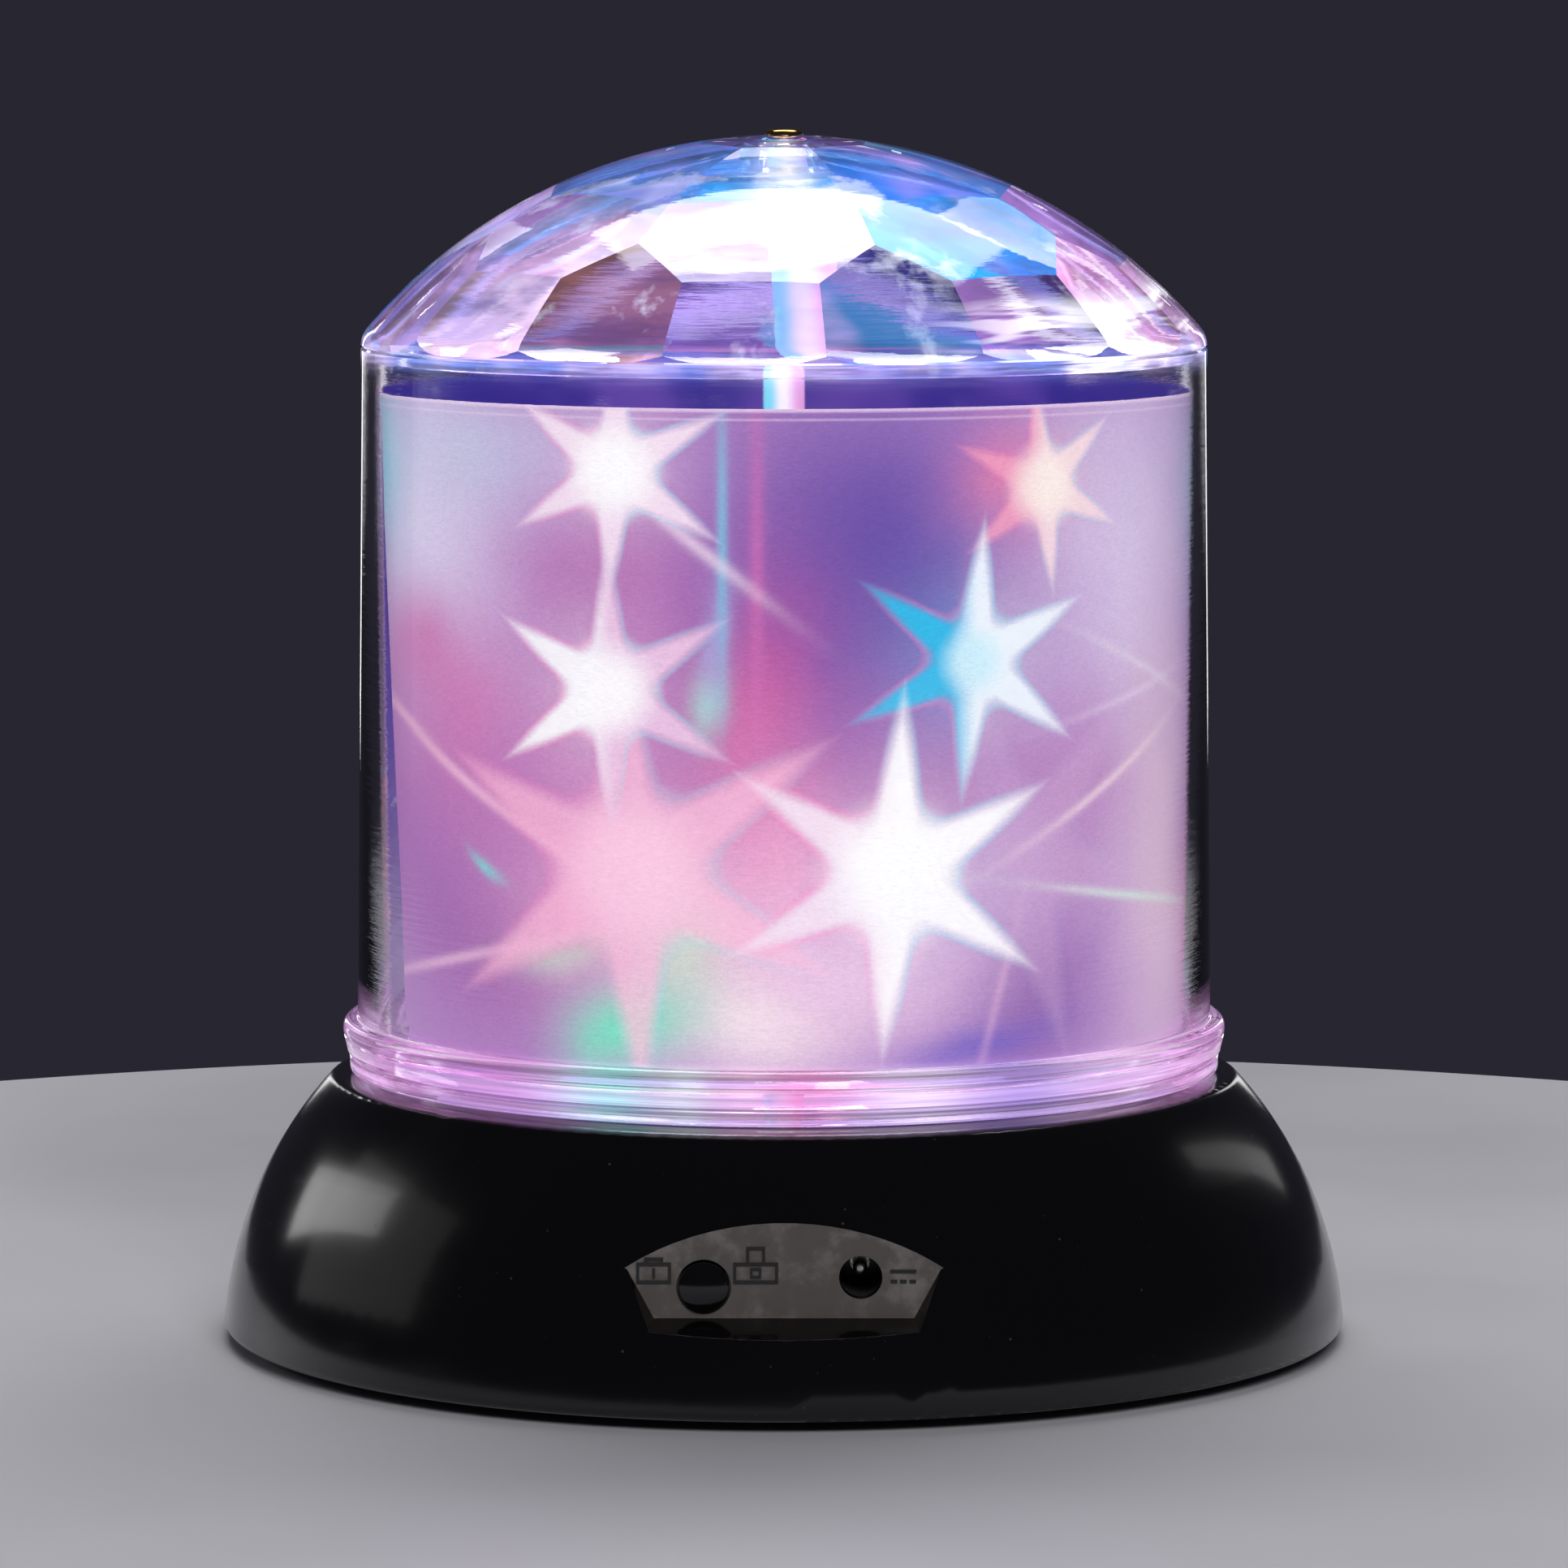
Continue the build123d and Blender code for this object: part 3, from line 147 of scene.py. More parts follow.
def smooth(piece: bpy.types.Object, degrees: float) -> None:
    """Shades a piece smooth except at edges sharper than an angle."""
    choose(piece)
    bpy.ops.object.shade_smooth_by_angle(angle=math.radians(degrees))


def apply_modifier(piece: bpy.types.Object, kind: str, **settings: object) -> None:
    """Adds a modifier to a piece and applies it.

    Args:
        piece: The piece to change.
        kind: The modifier's type name.
        settings: Its settings by name.
    """
    choose(piece)
    modifier = piece.modifiers.new(kind.lower(), kind)
    for key, value in settings.items():
        setattr(modifier, key, value)
    bpy.ops.object.modifier_apply(modifier=modifier.name)


def turn_profile(name: str, profile: Profile, segments: int, ring: bool) -> bpy.types.Object:
    """Models a turned piece: a circle extruded and scaled from point to point.

    Args:
        name: Name of the piece.
        profile: Half section as (radius, height) points in metres.
        segments: Corners round the piece.
        ring: Whether the last point joins the first; if not, both ends stay open
            unless the last radius is 0, which closes it in a pole.

    Returns:
        The piece, its place in its mesh.
    """
    deselect()
    radius, height = profile[0]
    bpy.ops.mesh.primitive_circle_add(vertices=segments, radius=radius, location=(0, 0, height))
    piece = bpy.context.object
    piece.name = piece.data.name = name
    settle(piece)
    edit_whole()
    steps = profile[1:] + (profile[:1] if ring else [])
    for new_radius, new_height in steps:
        move = (0, 0, new_height - height)
        bpy.ops.mesh.extrude_region_move(TRANSFORM_OT_translate={"value": move})
        if new_radius > 0:
            share = new_radius / radius
            bpy.ops.transform.resize(value=(share, share, 1), center_override=(0, 0, new_height))
            radius = new_radius
        else:
            bpy.ops.mesh.merge(type="CENTER")
        height = new_height
    bpy.ops.mesh.select_all(action="SELECT")
    bpy.ops.mesh.remove_doubles(threshold=1e-6)
    bpy.ops.mesh.normals_make_consistent(inside=False)
    end_edit()
    return piece


def polished_copy(node: str, name: str, degrees: float = 28) -> bpy.types.Object:
    """Copies a node's mesh, merges its loose triangles and shades it smooth.

    Args:
        node: The node to stand for.
        name: Name of the new piece.
        degrees: Edges sharper than this stay sharp.

    Returns:
        The new piece, which replaces the node.
    """
    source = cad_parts[node]
    piece = bpy.data.objects.new(name, source.data.copy())
    bpy.context.scene.collection.objects.link(piece)
    choose(piece)
    edit_whole()
    bpy.ops.mesh.remove_doubles(threshold=2e-6)
    end_edit()
    if piece.data.has_custom_normals:
        bpy.ops.mesh.customdata_custom_splitnormals_clear()
    smooth(piece, degrees)
    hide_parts(node)
    return piece


# --------------------------------------------------------------------------- finishes
class Graph:
    """A material's node tree with short calls for the nodes that the finishes use."""

    def __init__(self, tree: bpy.types.NodeTree, shader: bpy.types.Node | None = None) -> None:
        """Takes the tree to fill and the shader that it ends in."""
        self.tree = tree
        self.shader = shader
        self.cache: dict[str, bpy.types.NodeSocket] = {}

    def node(self, kind: str, **settings: object) -> bpy.types.Node:
        """Adds a node and sets its properties."""
        made = self.tree.nodes.new(kind)
        for key, value in settings.items():
            setattr(made, key, value)
        return made

    def feed(self, socket: bpy.types.NodeSocket, value: object) -> None:
        """Links a socket to another, or sets its value."""
        if isinstance(value, bpy.types.NodeSocket):
            self.tree.links.new(value, socket)
        elif isinstance(value, tuple) and socket.type == "RGBA":
            socket.default_value = (*value[:3], 1.0)
        else:
            socket.default_value = value

    def surface(self, name: str, value: object) -> None:
        """Feeds one input of the shader."""
        self.feed(self.shader.inputs[name], value)

    def math(self, kind: str, first: object, second: object = None,
             third: object = None, clamp: bool = False) -> bpy.types.NodeSocket:
        """Adds one sum.

        Args:
            kind: The operation's name.
            first: First value or socket.
            second: Second value or socket.
            third: Third value or socket.
            clamp: Whether the answer is kept between 0 and 1.

        Returns:
            The answer's socket.
        """
        made = self.node("ShaderNodeMath", operation=kind, use_clamp=clamp)
        for socket, value in zip(made.inputs, (first, second, third)):
            if value is not None:
                self.feed(socket, value)
        return made.outputs[0]

    def times(self, first: object, second: object) -> bpy.types.NodeSocket:
        """Multiplies two values."""
        return self.math("MULTIPLY", first, second)

    def fade(self, squares: object) -> bpy.types.NodeSocket:
        """Gives a soft bell from a squared distance: 1 at 0, falling to 0."""
        return self.math("EXPONENT", self.times(squares, -1.0))

    def bell(self, away: object) -> bpy.types.NodeSocket:
        """Gives a soft bell from a distance."""
        return self.fade(self.math("POWER", away, 2.0))

    def grey(self, level: object) -> bpy.types.NodeSocket:
        """Gives a grey of one level."""
        made = self.node("ShaderNodeCombineColor")
        for socket in made.inputs:
            self.feed(socket, level)
        return made.outputs[0]

    def ramp(self, value: object, start: float, end: float, low: float = 0.0,
             high: float = 1.0, kind: str = "SMOOTHSTEP") -> bpy.types.NodeSocket:
        """Maps a value from one range to another, clamped.

        Args:
            value: The value or socket.
            start: Where the answer is low.
            end: Where the answer is high.
            low: Answer at the start.
            high: Answer at the end.
            kind: Interpolation name.

        Returns:
            The answer's socket.
        """
        made = self.node("ShaderNodeMapRange", interpolation_type=kind)
        for index, item in enumerate((value, start, end, low, high)):
            self.feed(made.inputs[index], item)
        return made.outputs[0]

    def mix(self, share: object, first: object, second: object,
            kind: str = "MIX") -> bpy.types.NodeSocket:
        """Mixes two colours.

        Args:
            share: How much of the second.
            first: First colour or socket.
            second: Second colour or socket.
            kind: Blend name.

        Returns:
            The colour's socket.
        """
        made = self.node("ShaderNodeMix", data_type="RGBA", blend_type=kind)
        self.feed(made.inputs[0], share)
        self.feed(made.inputs[6], first)
        self.feed(made.inputs[7], second)
        return made.outputs[2]

    def place(self) -> bpy.types.NodeSocket:
        """Gives the Object coordinates, made once."""
        if "place" not in self.cache:
            self.cache["place"] = self.node("ShaderNodeTexCoord").outputs["Object"]
        return self.cache["place"]

    def axis(self, name: str) -> bpy.types.NodeSocket:
        """Gives X, Y or Z of the Object coordinates."""
        if "X" not in self.cache:
            split = self.node("ShaderNodeSeparateXYZ")
            self.feed(split.inputs[0], self.place())
            for key in "XYZ":
                self.cache[key] = split.outputs[key]
        return self.cache[name]

    def stretched(self, scale: tuple[float, float, float]) -> bpy.types.NodeSocket:
        """Gives Object coordinates scaled along each axis."""
        made = self.node("ShaderNodeMapping")
        self.feed(made.inputs["Vector"], self.place())
        made.inputs["Scale"].default_value = scale
        return made.outputs[0]

    def noise(self, scale: float, detail: float = 3.0, vector: object = None,
              roughness: float = 0.55) -> bpy.types.NodeSocket:
        """Adds a noise texture in Object coordinates.

        Args:
            scale: Waves to the metre.
            detail: Octaves.
            vector: Other coordinates to read.
            roughness: Weight of the fine octaves.

        Returns:
            The noise's value, about 0.2 to 0.8.
        """
        made = self.node("ShaderNodeTexNoise")
        self.feed(made.inputs["Vector"], vector or self.place())
        made.inputs["Scale"].default_value = scale
        made.inputs["Detail"].default_value = detail
        made.inputs["Roughness"].default_value = roughness
        return made.outputs[0]

    def specks(self, scale: float, size: float) -> bpy.types.NodeSocket:
        """Sparse round specks, 1 on a speck and 0 elsewhere."""
        made = self.node("ShaderNodeTexVoronoi", feature="F1")
        self.feed(made.inputs["Vector"], self.place())
        made.inputs["Scale"].default_value = scale
        near = self.ramp(made.outputs["Distance"], size, size * 0.4)
        few = self.ramp(self.noise(scale * 0.31, 1.0), 0.58, 0.66)
        return self.math("MULTIPLY", near, few)

    def bump(self, height: object, strength: float, distance: float) -> bpy.types.NodeSocket:
        """Adds a bump from a height in metres of depth."""
        made = self.node("ShaderNodeBump")
        made.inputs["Strength"].default_value = strength
        made.inputs["Distance"].default_value = distance
        self.feed(made.inputs["Height"], height)
        return made.outputs[0]


@dataclass(frozen=True)
class Finish:
    """A surface finish: its name and the shader's uniform numbers."""

    name: str
    numbers: tuple[tuple[str, float], ...] = ()

    def material(self) -> bpy.types.Material:
        """Gives the finish's material, made once."""
        known = bpy.data.materials.get(self.name)
        if known:
            return known
        made = bpy.data.materials.new(self.name)
        made.use_nodes = True
        shader = made.node_tree.nodes["Principled BSDF"]
        for key, value in self.numbers:
            shader.inputs[key].default_value = value
        self.paint(Graph(made.node_tree, shader))
        return made

    def paint(self, graph: Graph) -> None:
        """Links the finish's textures to the shader."""

    def dress(self, *pieces: bpy.types.Object) -> None:
        """Puts the finish on every material slot of the pieces."""
        for piece in pieces:
            if not piece.material_slots:
                piece.data.materials.append(self.material())
            for slot in piece.material_slots:
                slot.material = self.material()


@dataclass(frozen=True)
class Moulding(Finish):
    """Injection-moulded plastic with a fine skin, handling marks and worn edges."""

    colour: Colour = (0.02, 0.02, 0.02)
    worn: Colour = (0.08, 0.08, 0.08)
    rough_low: float = 0.35
    rough_high: float = 0.5
    grain: float = 900.0
    grain_depth: float = 0.00004

    def paint(self, graph: Graph) -> None:
        """Links colour drift, roughness and a fine skin."""
        drift = graph.noise(35.0, 4.0)
        rub = graph.ramp(graph.noise(260.0, 6.0, roughness=0.7), 0.6, 0.78, 0.0, 0.35)
        shade = graph.mix(graph.ramp(drift, 0.35, 0.7, 0.0, 0.4), self.colour, self.worn)
        graph.surface("Base Color", graph.mix(rub, shade, self.worn))
        graph.surface(
            "Roughness", graph.ramp(graph.noise(70.0, 5.0), 0.3, 0.75, self.rough_low, self.rough_high),
        )
        skin = graph.bump(graph.noise(self.grain, 4.0), 0.5, self.grain_depth)
        graph.surface("Normal", skin)


@dataclass(frozen=True)
class GlossBlack(Finish):
    """High-gloss black with fine dust and faint swirls."""

    colour: Colour = (0.0034, 0.0032, 0.0032)

    def paint(self, graph: Graph) -> None:
        """Links dust, swirls and the soft drift of the gloss."""
        dust = graph.math("ADD", graph.specks(420.0, 0.10), graph.specks(900.0, 0.09), clamp=True)
        dust = graph.times(dust, 0.12)
        graph.surface("Base Color", graph.mix(dust, self.colour, tone(170, 172, 180)))
        swirl = graph.noise(1.0, 5.0, graph.stretched((30.0, 30.0, 210.0)))
        clean = graph.ramp(graph.noise(24.0, 4.0), 0.35, 0.7, 0.13, 0.2)
        marked = graph.math("ADD", clean, graph.ramp(swirl, 0.62, 0.8, 0.0, 0.09))
        rough = graph.math("ADD", marked, graph.times(dust, 1.5), clamp=True)
        graph.surface("Roughness", rough)
        wave = graph.math("ADD", graph.noise(46.0, 2.0), graph.times(dust, 0.4))
        graph.surface("Normal", graph.bump(wave, 0.3, 0.00006))


@dataclass(frozen=True)
class PanelFace(Finish):
    """Satin face of the control panel: warm dark grey with rubbed patches."""

    colour: Colour = field(default_factory=lambda: tone(94, 88, 84))
    rubbed: Colour = field(default_factory=lambda: tone(128, 122, 118))

    def paint(self, graph: Graph) -> None:
        """Links rubbed patches, shiny smears and a fine sparked skin."""
        patch = graph.noise(210.0, 5.0, roughness=0.65)
        rub = graph.ramp(patch, 0.46, 0.7, 0.0, 0.8)
        graph.surface("Base Color", graph.mix(rub, self.colour, self.rubbed))
        smear = graph.noise(1.0, 4.0, graph.stretched((420.0, 420.0, 150.0)), 0.6)
        graph.surface("Roughness", graph.ramp(smear, 0.42, 0.62, 0.48, 0.26))
        skin = graph.math("ADD", graph.noise(1500.0, 3.0), patch)
        graph.surface("Normal", graph.bump(skin, 0.4, 0.00006))


# Colours of the painted glowing belt along the rim.
RIM_GLOW_BLUE = tone(104, 132, 214)
RIM_GLOW_LILAC = tone(202, 186, 226)
# Painted pools of the lights' colours round the foot: angle, reach in degrees and colour of each.
PAINTED_FOOT_GLOWS = (
    (-48.0, 13.0, tone(176, 106, 172)), (-23.0, 7.0, tone(130, 216, 200)),
    (-13.0, 5.0, tone(206, 222, 214)), (-5.0, 5.0, tone(236, 190, 216)),
    (4.0, 6.0, tone(214, 128, 180)), (18.0, 7.0, tone(226, 208, 232)),
    (33.0, 9.0, tone(140, 118, 190)), (52.0, 10.0, tone(196, 158, 196)),
    (120.0, 14.0, tone(140, 200, 220)), (170.0, 16.0, tone(216, 140, 190)),
    (-120.0, 16.0, tone(130, 110, 200)),
)


@dataclass(frozen=True)
class ClearPlastic(Finish):
    """Clear moulded plastic with draw lines, hairline scratches and a painted glow at its edge."""

    tint: Colour = (0.965, 0.955, 1.0)
    glow_low: float = 0.0
    glow_foot: float = 0.0
    glow_top: float = 0.001
    glow_tone: Colour = (0.5, 0.3, 0.6)
    rim_height: float = 0.0
    rim_glow_reach: float = 0.0019

    def paint(self, graph: Graph) -> None:
        """Links the tint, the hairlines and the painted glow that stands for light piped to the edge."""
        cloud = graph.noise(60.0, 3.0)
        paler = tuple(min(1.0, c * 1.03) for c in self.tint)
        graph.surface(
            "Base Color", graph.mix(graph.ramp(cloud, 0.35, 0.7), self.tint, paler),
        )
        lines = graph.noise(1.0, 4.0, graph.stretched((90.0, 90.0, 1500.0)))
        hair = graph.noise(1.0, 5.0, graph.stretched((1400.0, 1400.0, 60.0)), 0.7)
        haze = graph.math(
            "ADD", graph.ramp(lines, 0.55, 0.8, 0.015, 0.05), graph.ramp(hair, 0.66, 0.8, 0.0, 0.06)
        )
        graph.surface("Roughness", haze)
        graph.surface(
            "Normal", graph.bump(graph.math("ADD", lines, graph.noise(30.0, 1.0)), 0.18, 0.00008),
        )
        lit: object = (0.0, 0.0, 0.0)
        # Painted glow: emission at the foot, in streaks, tinted by the painted pools of the lights'
        # colours.
        if self.glow_low > 0:
            rise = graph.ramp(graph.axis("Z"), self.glow_top, self.glow_foot)
            bands = graph.noise(1.0, 4.0, graph.stretched((16.0, 16.0, 2600.0)), 0.65)
            streaks = graph.ramp(bands, 0.36, 0.64, 0.15, 1.0)
            patches = graph.noise(45.0, 2.0)
            hue = graph.mix(graph.ramp(patches, 0.38, 0.62), self.glow_tone, tone(206, 180, 216))
            angle = graph.math("ARCTAN2", graph.axis("X"), graph.times(graph.axis("Y"), -1.0))
            for degrees, reach, colour in PAINTED_FOOT_GLOWS:
                away = graph.math("SUBTRACT", angle, math.radians(degrees))
                away = graph.math("DIVIDE", away, math.radians(reach))
                near = graph.bell(away)
                hue = graph.mix(graph.times(near, 0.85), hue, colour)
            power = graph.times(graph.times(rise, streaks), self.glow_low)
            lit = graph.mix(power, (0.0, 0.0, 0.0), hue)
        # Painted glowing belt at the rim's height.
        if self.rim_height > 0:
            off = graph.math("SUBTRACT", graph.axis("Z"), self.rim_height)
            belt = graph.bell(graph.math("DIVIDE", off, self.rim_glow_reach))
            belt = graph.times(belt, graph.ramp(lines, 0.34, 0.66, 0.16, 0.5))
            lit = graph.mix(belt, lit, graph.mix(graph.ramp(cloud, 0.4, 0.6), RIM_GLOW_BLUE, RIM_GLOW_LILAC))
        if self.glow_low > 0 or self.rim_height > 0:
            graph.surface("Emission Color", lit)
            graph.surface("Emission Strength", 1.0)


@dataclass(frozen=True)
class Metal(Finish):
    """Plated or brassed metal with fine turning marks and a little tarnish."""

    colour: Colour = (0.6, 0.6, 0.62)
    tarnish: Colour = (0.3, 0.27, 0.24)
    rough: float = 0.22

    def paint(self, graph: Graph) -> None:
        """Links tarnish, uneven polish and fine marks."""
        stain = graph.ramp(graph.noise(320.0, 5.0), 0.5, 0.75, 0.0, 0.5)
        graph.surface("Base Color", graph.mix(stain, self.colour, self.tarnish))
        polish = graph.noise(900.0, 3.0)
        graph.surface(
            "Roughness", graph.ramp(polish, 0.3, 0.7, self.rough * 0.7, self.rough * 1.5),
        )
        marks = graph.noise(1.0, 3.0, graph.stretched((2500.0, 2500.0, 9000.0)))
        graph.surface("Normal", graph.bump(marks, 0.3, 0.00002))


@dataclass(frozen=True)
class LitSpindle(Finish):
    """White satin rod with painted cyan and pink light up its sides."""

    left: Colour = field(default_factory=lambda: tone(120, 225, 235))
    right: Colour = field(default_factory=lambda: tone(240, 160, 205))
    middle: Colour = field(default_factory=lambda: tone(250, 245, 252))
    radius: float = 0.003

    def paint(self, graph: Graph) -> None:
        """Links the two painted side colours of light, their drift with height and the satin skin."""
        # Painted light from the lamps inside: cyan on the left side, pink on the right, with lilac
        # patches, in base colour and emission.
        across = graph.math("DIVIDE", graph.axis("X"), self.radius)
        drift = graph.math("SUBTRACT", graph.noise(38.0, 2.0), 0.5)
        across = graph.math("ADD", across, graph.times(drift, 1.4))
        cyan = graph.ramp(across, -0.15, -0.75)
        pink = graph.ramp(across, -0.05, 0.75)
        colour = graph.mix(pink, graph.mix(cyan, self.middle, self.left), self.right)
        patch = graph.ramp(graph.noise(70.0, 2.0), 0.5, 0.7, 0.0, 0.5)
        colour = graph.mix(patch, colour, tone(205, 175, 225))
        graph.surface("Base Color", graph.mix(0.35, colour, (0.7, 0.7, 0.72)))
        # Painted glow: the emission grows up the rod.
        climb = graph.ramp(graph.axis("Z"), 0.06, 0.125, 0.05, 1.0)
        graph.surface("Emission Color", graph.mix(climb, (0.0, 0.0, 0.0), colour))
        graph.surface("Roughness", graph.ramp(graph.noise(300.0), 0.3, 0.7, 0.3, 0.45))
        graph.surface("Normal", graph.bump(graph.noise(1300.0), 0.3, 0.00003))


@dataclass(frozen=True)
class LensFacet(Finish):
    """Inner facets of the dome: clear, each carrying painted light, a colour given as emission."""

    layer: str = "facet_light"

    def paint(self, graph: Graph) -> None:
        """Links the facets' painted light, broken into streaks, swirls and painted glints."""
        attribute = graph.node("ShaderNodeAttribute", attribute_name=self.layer).outputs
        light, amount = attribute["Color"], attribute["Alpha"]
        # The swirls add painted white highlights and rosy tints to the painted light; streak breaks it
        # into bright and dim bands.
        warp = graph.noise(40.0, 2.0)
        sweep = graph.noise(1.0, 4.0, graph.stretched((30.0, 44.0, 150.0)), 0.62)
        swirl = graph.noise(58.0, 5.0, roughness=0.6)
        streak = graph.ramp(sweep, 0.36, 0.62, 0.42, 1.18)
        white = graph.times(graph.ramp(swirl, 0.56, 0.63), graph.ramp(warp, 0.42, 0.56))
        pale = graph.mix(graph.times(white, 0.75), light, tone(232, 236, 255))
        rosy = graph.mix(graph.ramp(warp, 0.44, 0.34, 0.0, 0.55), pale, tone(216, 150, 200))
        lit = graph.mix(1.0, rosy, graph.grey(streak), "MULTIPLY")
        # Painted white highlight down from the apex, round the screw.
        apex_highlight = graph.times(graph.axis("X"), 1 / 0.0036)
        apex_highlight = graph.bell(apex_highlight)
        apex_highlight = graph.times(apex_highlight, graph.ramp(graph.axis("Z"), 0.160, 0.166))
        apex_highlight = graph.times(apex_highlight, graph.ramp(graph.axis("Y"), 0.004, -0.004))
        apex_highlight = graph.times(apex_highlight, graph.ramp(sweep, 0.38, 0.56, 0.1, 0.9))
        lit = graph.mix(apex_highlight, lit, tone(250, 252, 255))
        # Painted white glints along the rim on the right.
        right = graph.ramp(graph.axis("X"), 0.016, 0.034)
        rim = graph.ramp(graph.axis("Z"), 0.1535, 0.1505)
        wave = graph.noise(1.0, 3.0, graph.stretched((24.0, 24.0, 300.0)), 0.6)
        glint = graph.times(graph.ramp(wave, 0.5, 0.58), graph.times(rim, right))
        lit = graph.mix(glint, lit, tone(255, 252, 255))
        total = graph.math("MAXIMUM", graph.math("MAXIMUM", amount, apex_highlight), glint)
        graph.surface("Emission Color", graph.mix(total, (0.0, 0.0, 0.0), lit))
        # The base colour is tinted by each facet's painted light.
        clear = tone(246, 240, 255)
        graph.surface(
            "Base Color", graph.mix(graph.times(amount, 0.8), clear, graph.mix(0.35, light, clear)),
        )
        graph.surface("Roughness", graph.ramp(swirl, 0.6, 0.8, 0.0, 0.06))
        graph.surface(
            "Normal", graph.bump(graph.noise(55.0, 3.0), 0.3, 0.0003)
        )


@dataclass(frozen=True)
class Glow:
    """A soft painted patch of light on the film, by angle from the front and height.

    The reaches are in millimetres along and up the film, and turn is in degrees.
    """

    angle: float
    height: float
    along: float
    up: float
    colour: Colour
    strength: float = 1.0
    turn: float = 0.0


@dataclass(frozen=True)
class Star:
    """A six-armed star on the film, by angle from the front and height."""

    angle: float
    height: float
    reach: float
    left: Colour
    right: Colour
    core: Colour
    fill: float = 1.0
    tilt: float = 0.0
    core_size: float = 0.42


PINK_WHITE = tone(246, 226, 240)
WHITE = tone(255, 255, 255)
CYAN = tone(40, 190, 232)
PALE_CYAN = tone(205, 240, 250)
LILAC = tone(176, 134, 196)
MAGENTA = tone(205, 88, 160)
PURPLE = tone(150, 78, 160)
BLUE_PURPLE = tone(102, 78, 165)
MINT = tone(105, 222, 190)
PALE_GREEN = tone(196, 224, 200)
ROSE = tone(240, 176, 212)

GLOWS = (
    Glow(-30, 96, 62, 30, tone(186, 92, 170), 0.75),
    Glow(12, 120, 21, 25, BLUE_PURPLE, 0.98),
    Glow(-2, 104, 14, 22, tone(120, 76, 160), 0.7),
    Glow(54, 116, 17, 34, tone(216, 200, 232), 0.97),
    Glow(-58, 122, 21, 24, tone(218, 208, 236), 0.97),
    Glow(-72, 131, 9, 11, tone(160, 222, 238), 0.95),
    Glow(-47, 133, 16, 8, tone(196, 200, 226), 0.75),
    Glow(-25, 118, 11, 8, tone(180, 106, 172), 0.8),
    Glow(-60, 104, 10, 8, tone(206, 110, 172), 0.7),
    Glow(-50, 96, 9, 11, tone(214, 116, 176), 0.5),
    Glow(-3, 96, 8, 15, tone(208, 92, 158), 0.85),
    Glow(0, 78, 7, 15, tone(236, 138, 186), 0.95),
    Glow(22, 88, 26, 10, tone(168, 92, 170), 0.7),
    Glow(-44, 62, 21, 16, tone(158, 100, 168), 0.85),
    Glow(36, 55, 12, 11, tone(142, 96, 168), 0.9),
    Glow(45, 86, 12, 12, tone(188, 134, 190), 0.7),
    Glow(-11, 70, 24, 13, ROSE, 0.75),
    Glow(-5, 54, 14, 9, tone(244, 226, 232), 1.0),
    Glow(10, 61, 16, 9, tone(236, 200, 230), 0.8),
    Glow(-14.6, 64, 6, 9, PALE_GREEN, 0.85),
    Glow(-22, 53, 9, 5.5, MINT, 1.0, 14),
    Glow(-31, 63, 9, 3, PALE_GREEN, 0.6, 12),
    Glow(-9.5, 99, 2.6, 4, tone(150, 225, 205), 0.8),
    Glow(-9.0, 107, 2.2, 9, tone(160, 170, 220), 0.7),
    Glow(-42.8, 75, 3.4, 1.2, tone(110, 215, 215), 0.8, -30),
    Glow(28, 50.5, 12, 2.6, tone(110, 90, 190), 0.8, 8),
    Glow(62, 74, 12, 36, tone(220, 190, 214), 0.95),
    Glow(31, 130, 7, 7, tone(226, 120, 164), 0.65),
)

STARS = (
    Star(-21.0, 75.0, 33, tone(252, 184, 214), tone(252, 194, 220), tone(255, 210, 230), 0.7, 0.06),
    Star(33.0, 76.0, 30, tone(190, 150, 205), tone(212, 176, 214), tone(206, 172, 214), 0.28, 0.3),
    Star(-23.2, 131.0, 17.5, PINK_WHITE, PINK_WHITE, WHITE, 0.96, -0.04, 0.5),
    Star(-23.9, 100.3, 19.5, WHITE, tone(236, 200, 228), WHITE, 0.9, 0.02, 0.46),
    Star(37.0, 128.6, 15, tone(246, 160, 190), tone(255, 228, 228), tone(255, 244, 234), 0.8, 0.12, 0.5),
    Star(26.0, 104.3, 19.5, CYAN, tone(240, 250, 255), PALE_CYAN, 0.95, -0.09, 0.32),
    Star(14.7, 74.8, 25.5, PINK_WHITE, WHITE, WHITE, 0.98, -0.06, 0.5),
)

STREAKS = (
    Glow(-8.2, 122, 0.8, 20, tone(120, 190, 220), 0.8),
    Glow(-3.6, 118, 1.1, 26, tone(206, 110, 178), 0.65),
    Glow(-12, 121, 13, 1.0, PINK_WHITE, 0.6, -38),
    Glow(-48, 86, 26, 0.9, tone(240, 190, 216), 0.75, -27),
    Glow(-50, 60.5, 22, 0.8, tone(240, 196, 222), 0.6, 13),
    Glow(47, 84.5, 20, 0.7, tone(240, 214, 224), 0.75, 27),
    Glow(52, 69.5, 18, 0.7, tone(214, 236, 222), 0.8, -9),
    Glow(57, 102, 15, 0.7, tone(226, 214, 232), 0.6, -22),
    Glow(55, 98, 14, 0.6, tone(232, 214, 236), 0.5, 12),
    Glow(-66, 95, 8, 0.7, tone(236, 180, 212), 0.6, -18),
    Glow(30, 57, 0.8, 13, tone(232, 180, 214), 0.4, -16),
)


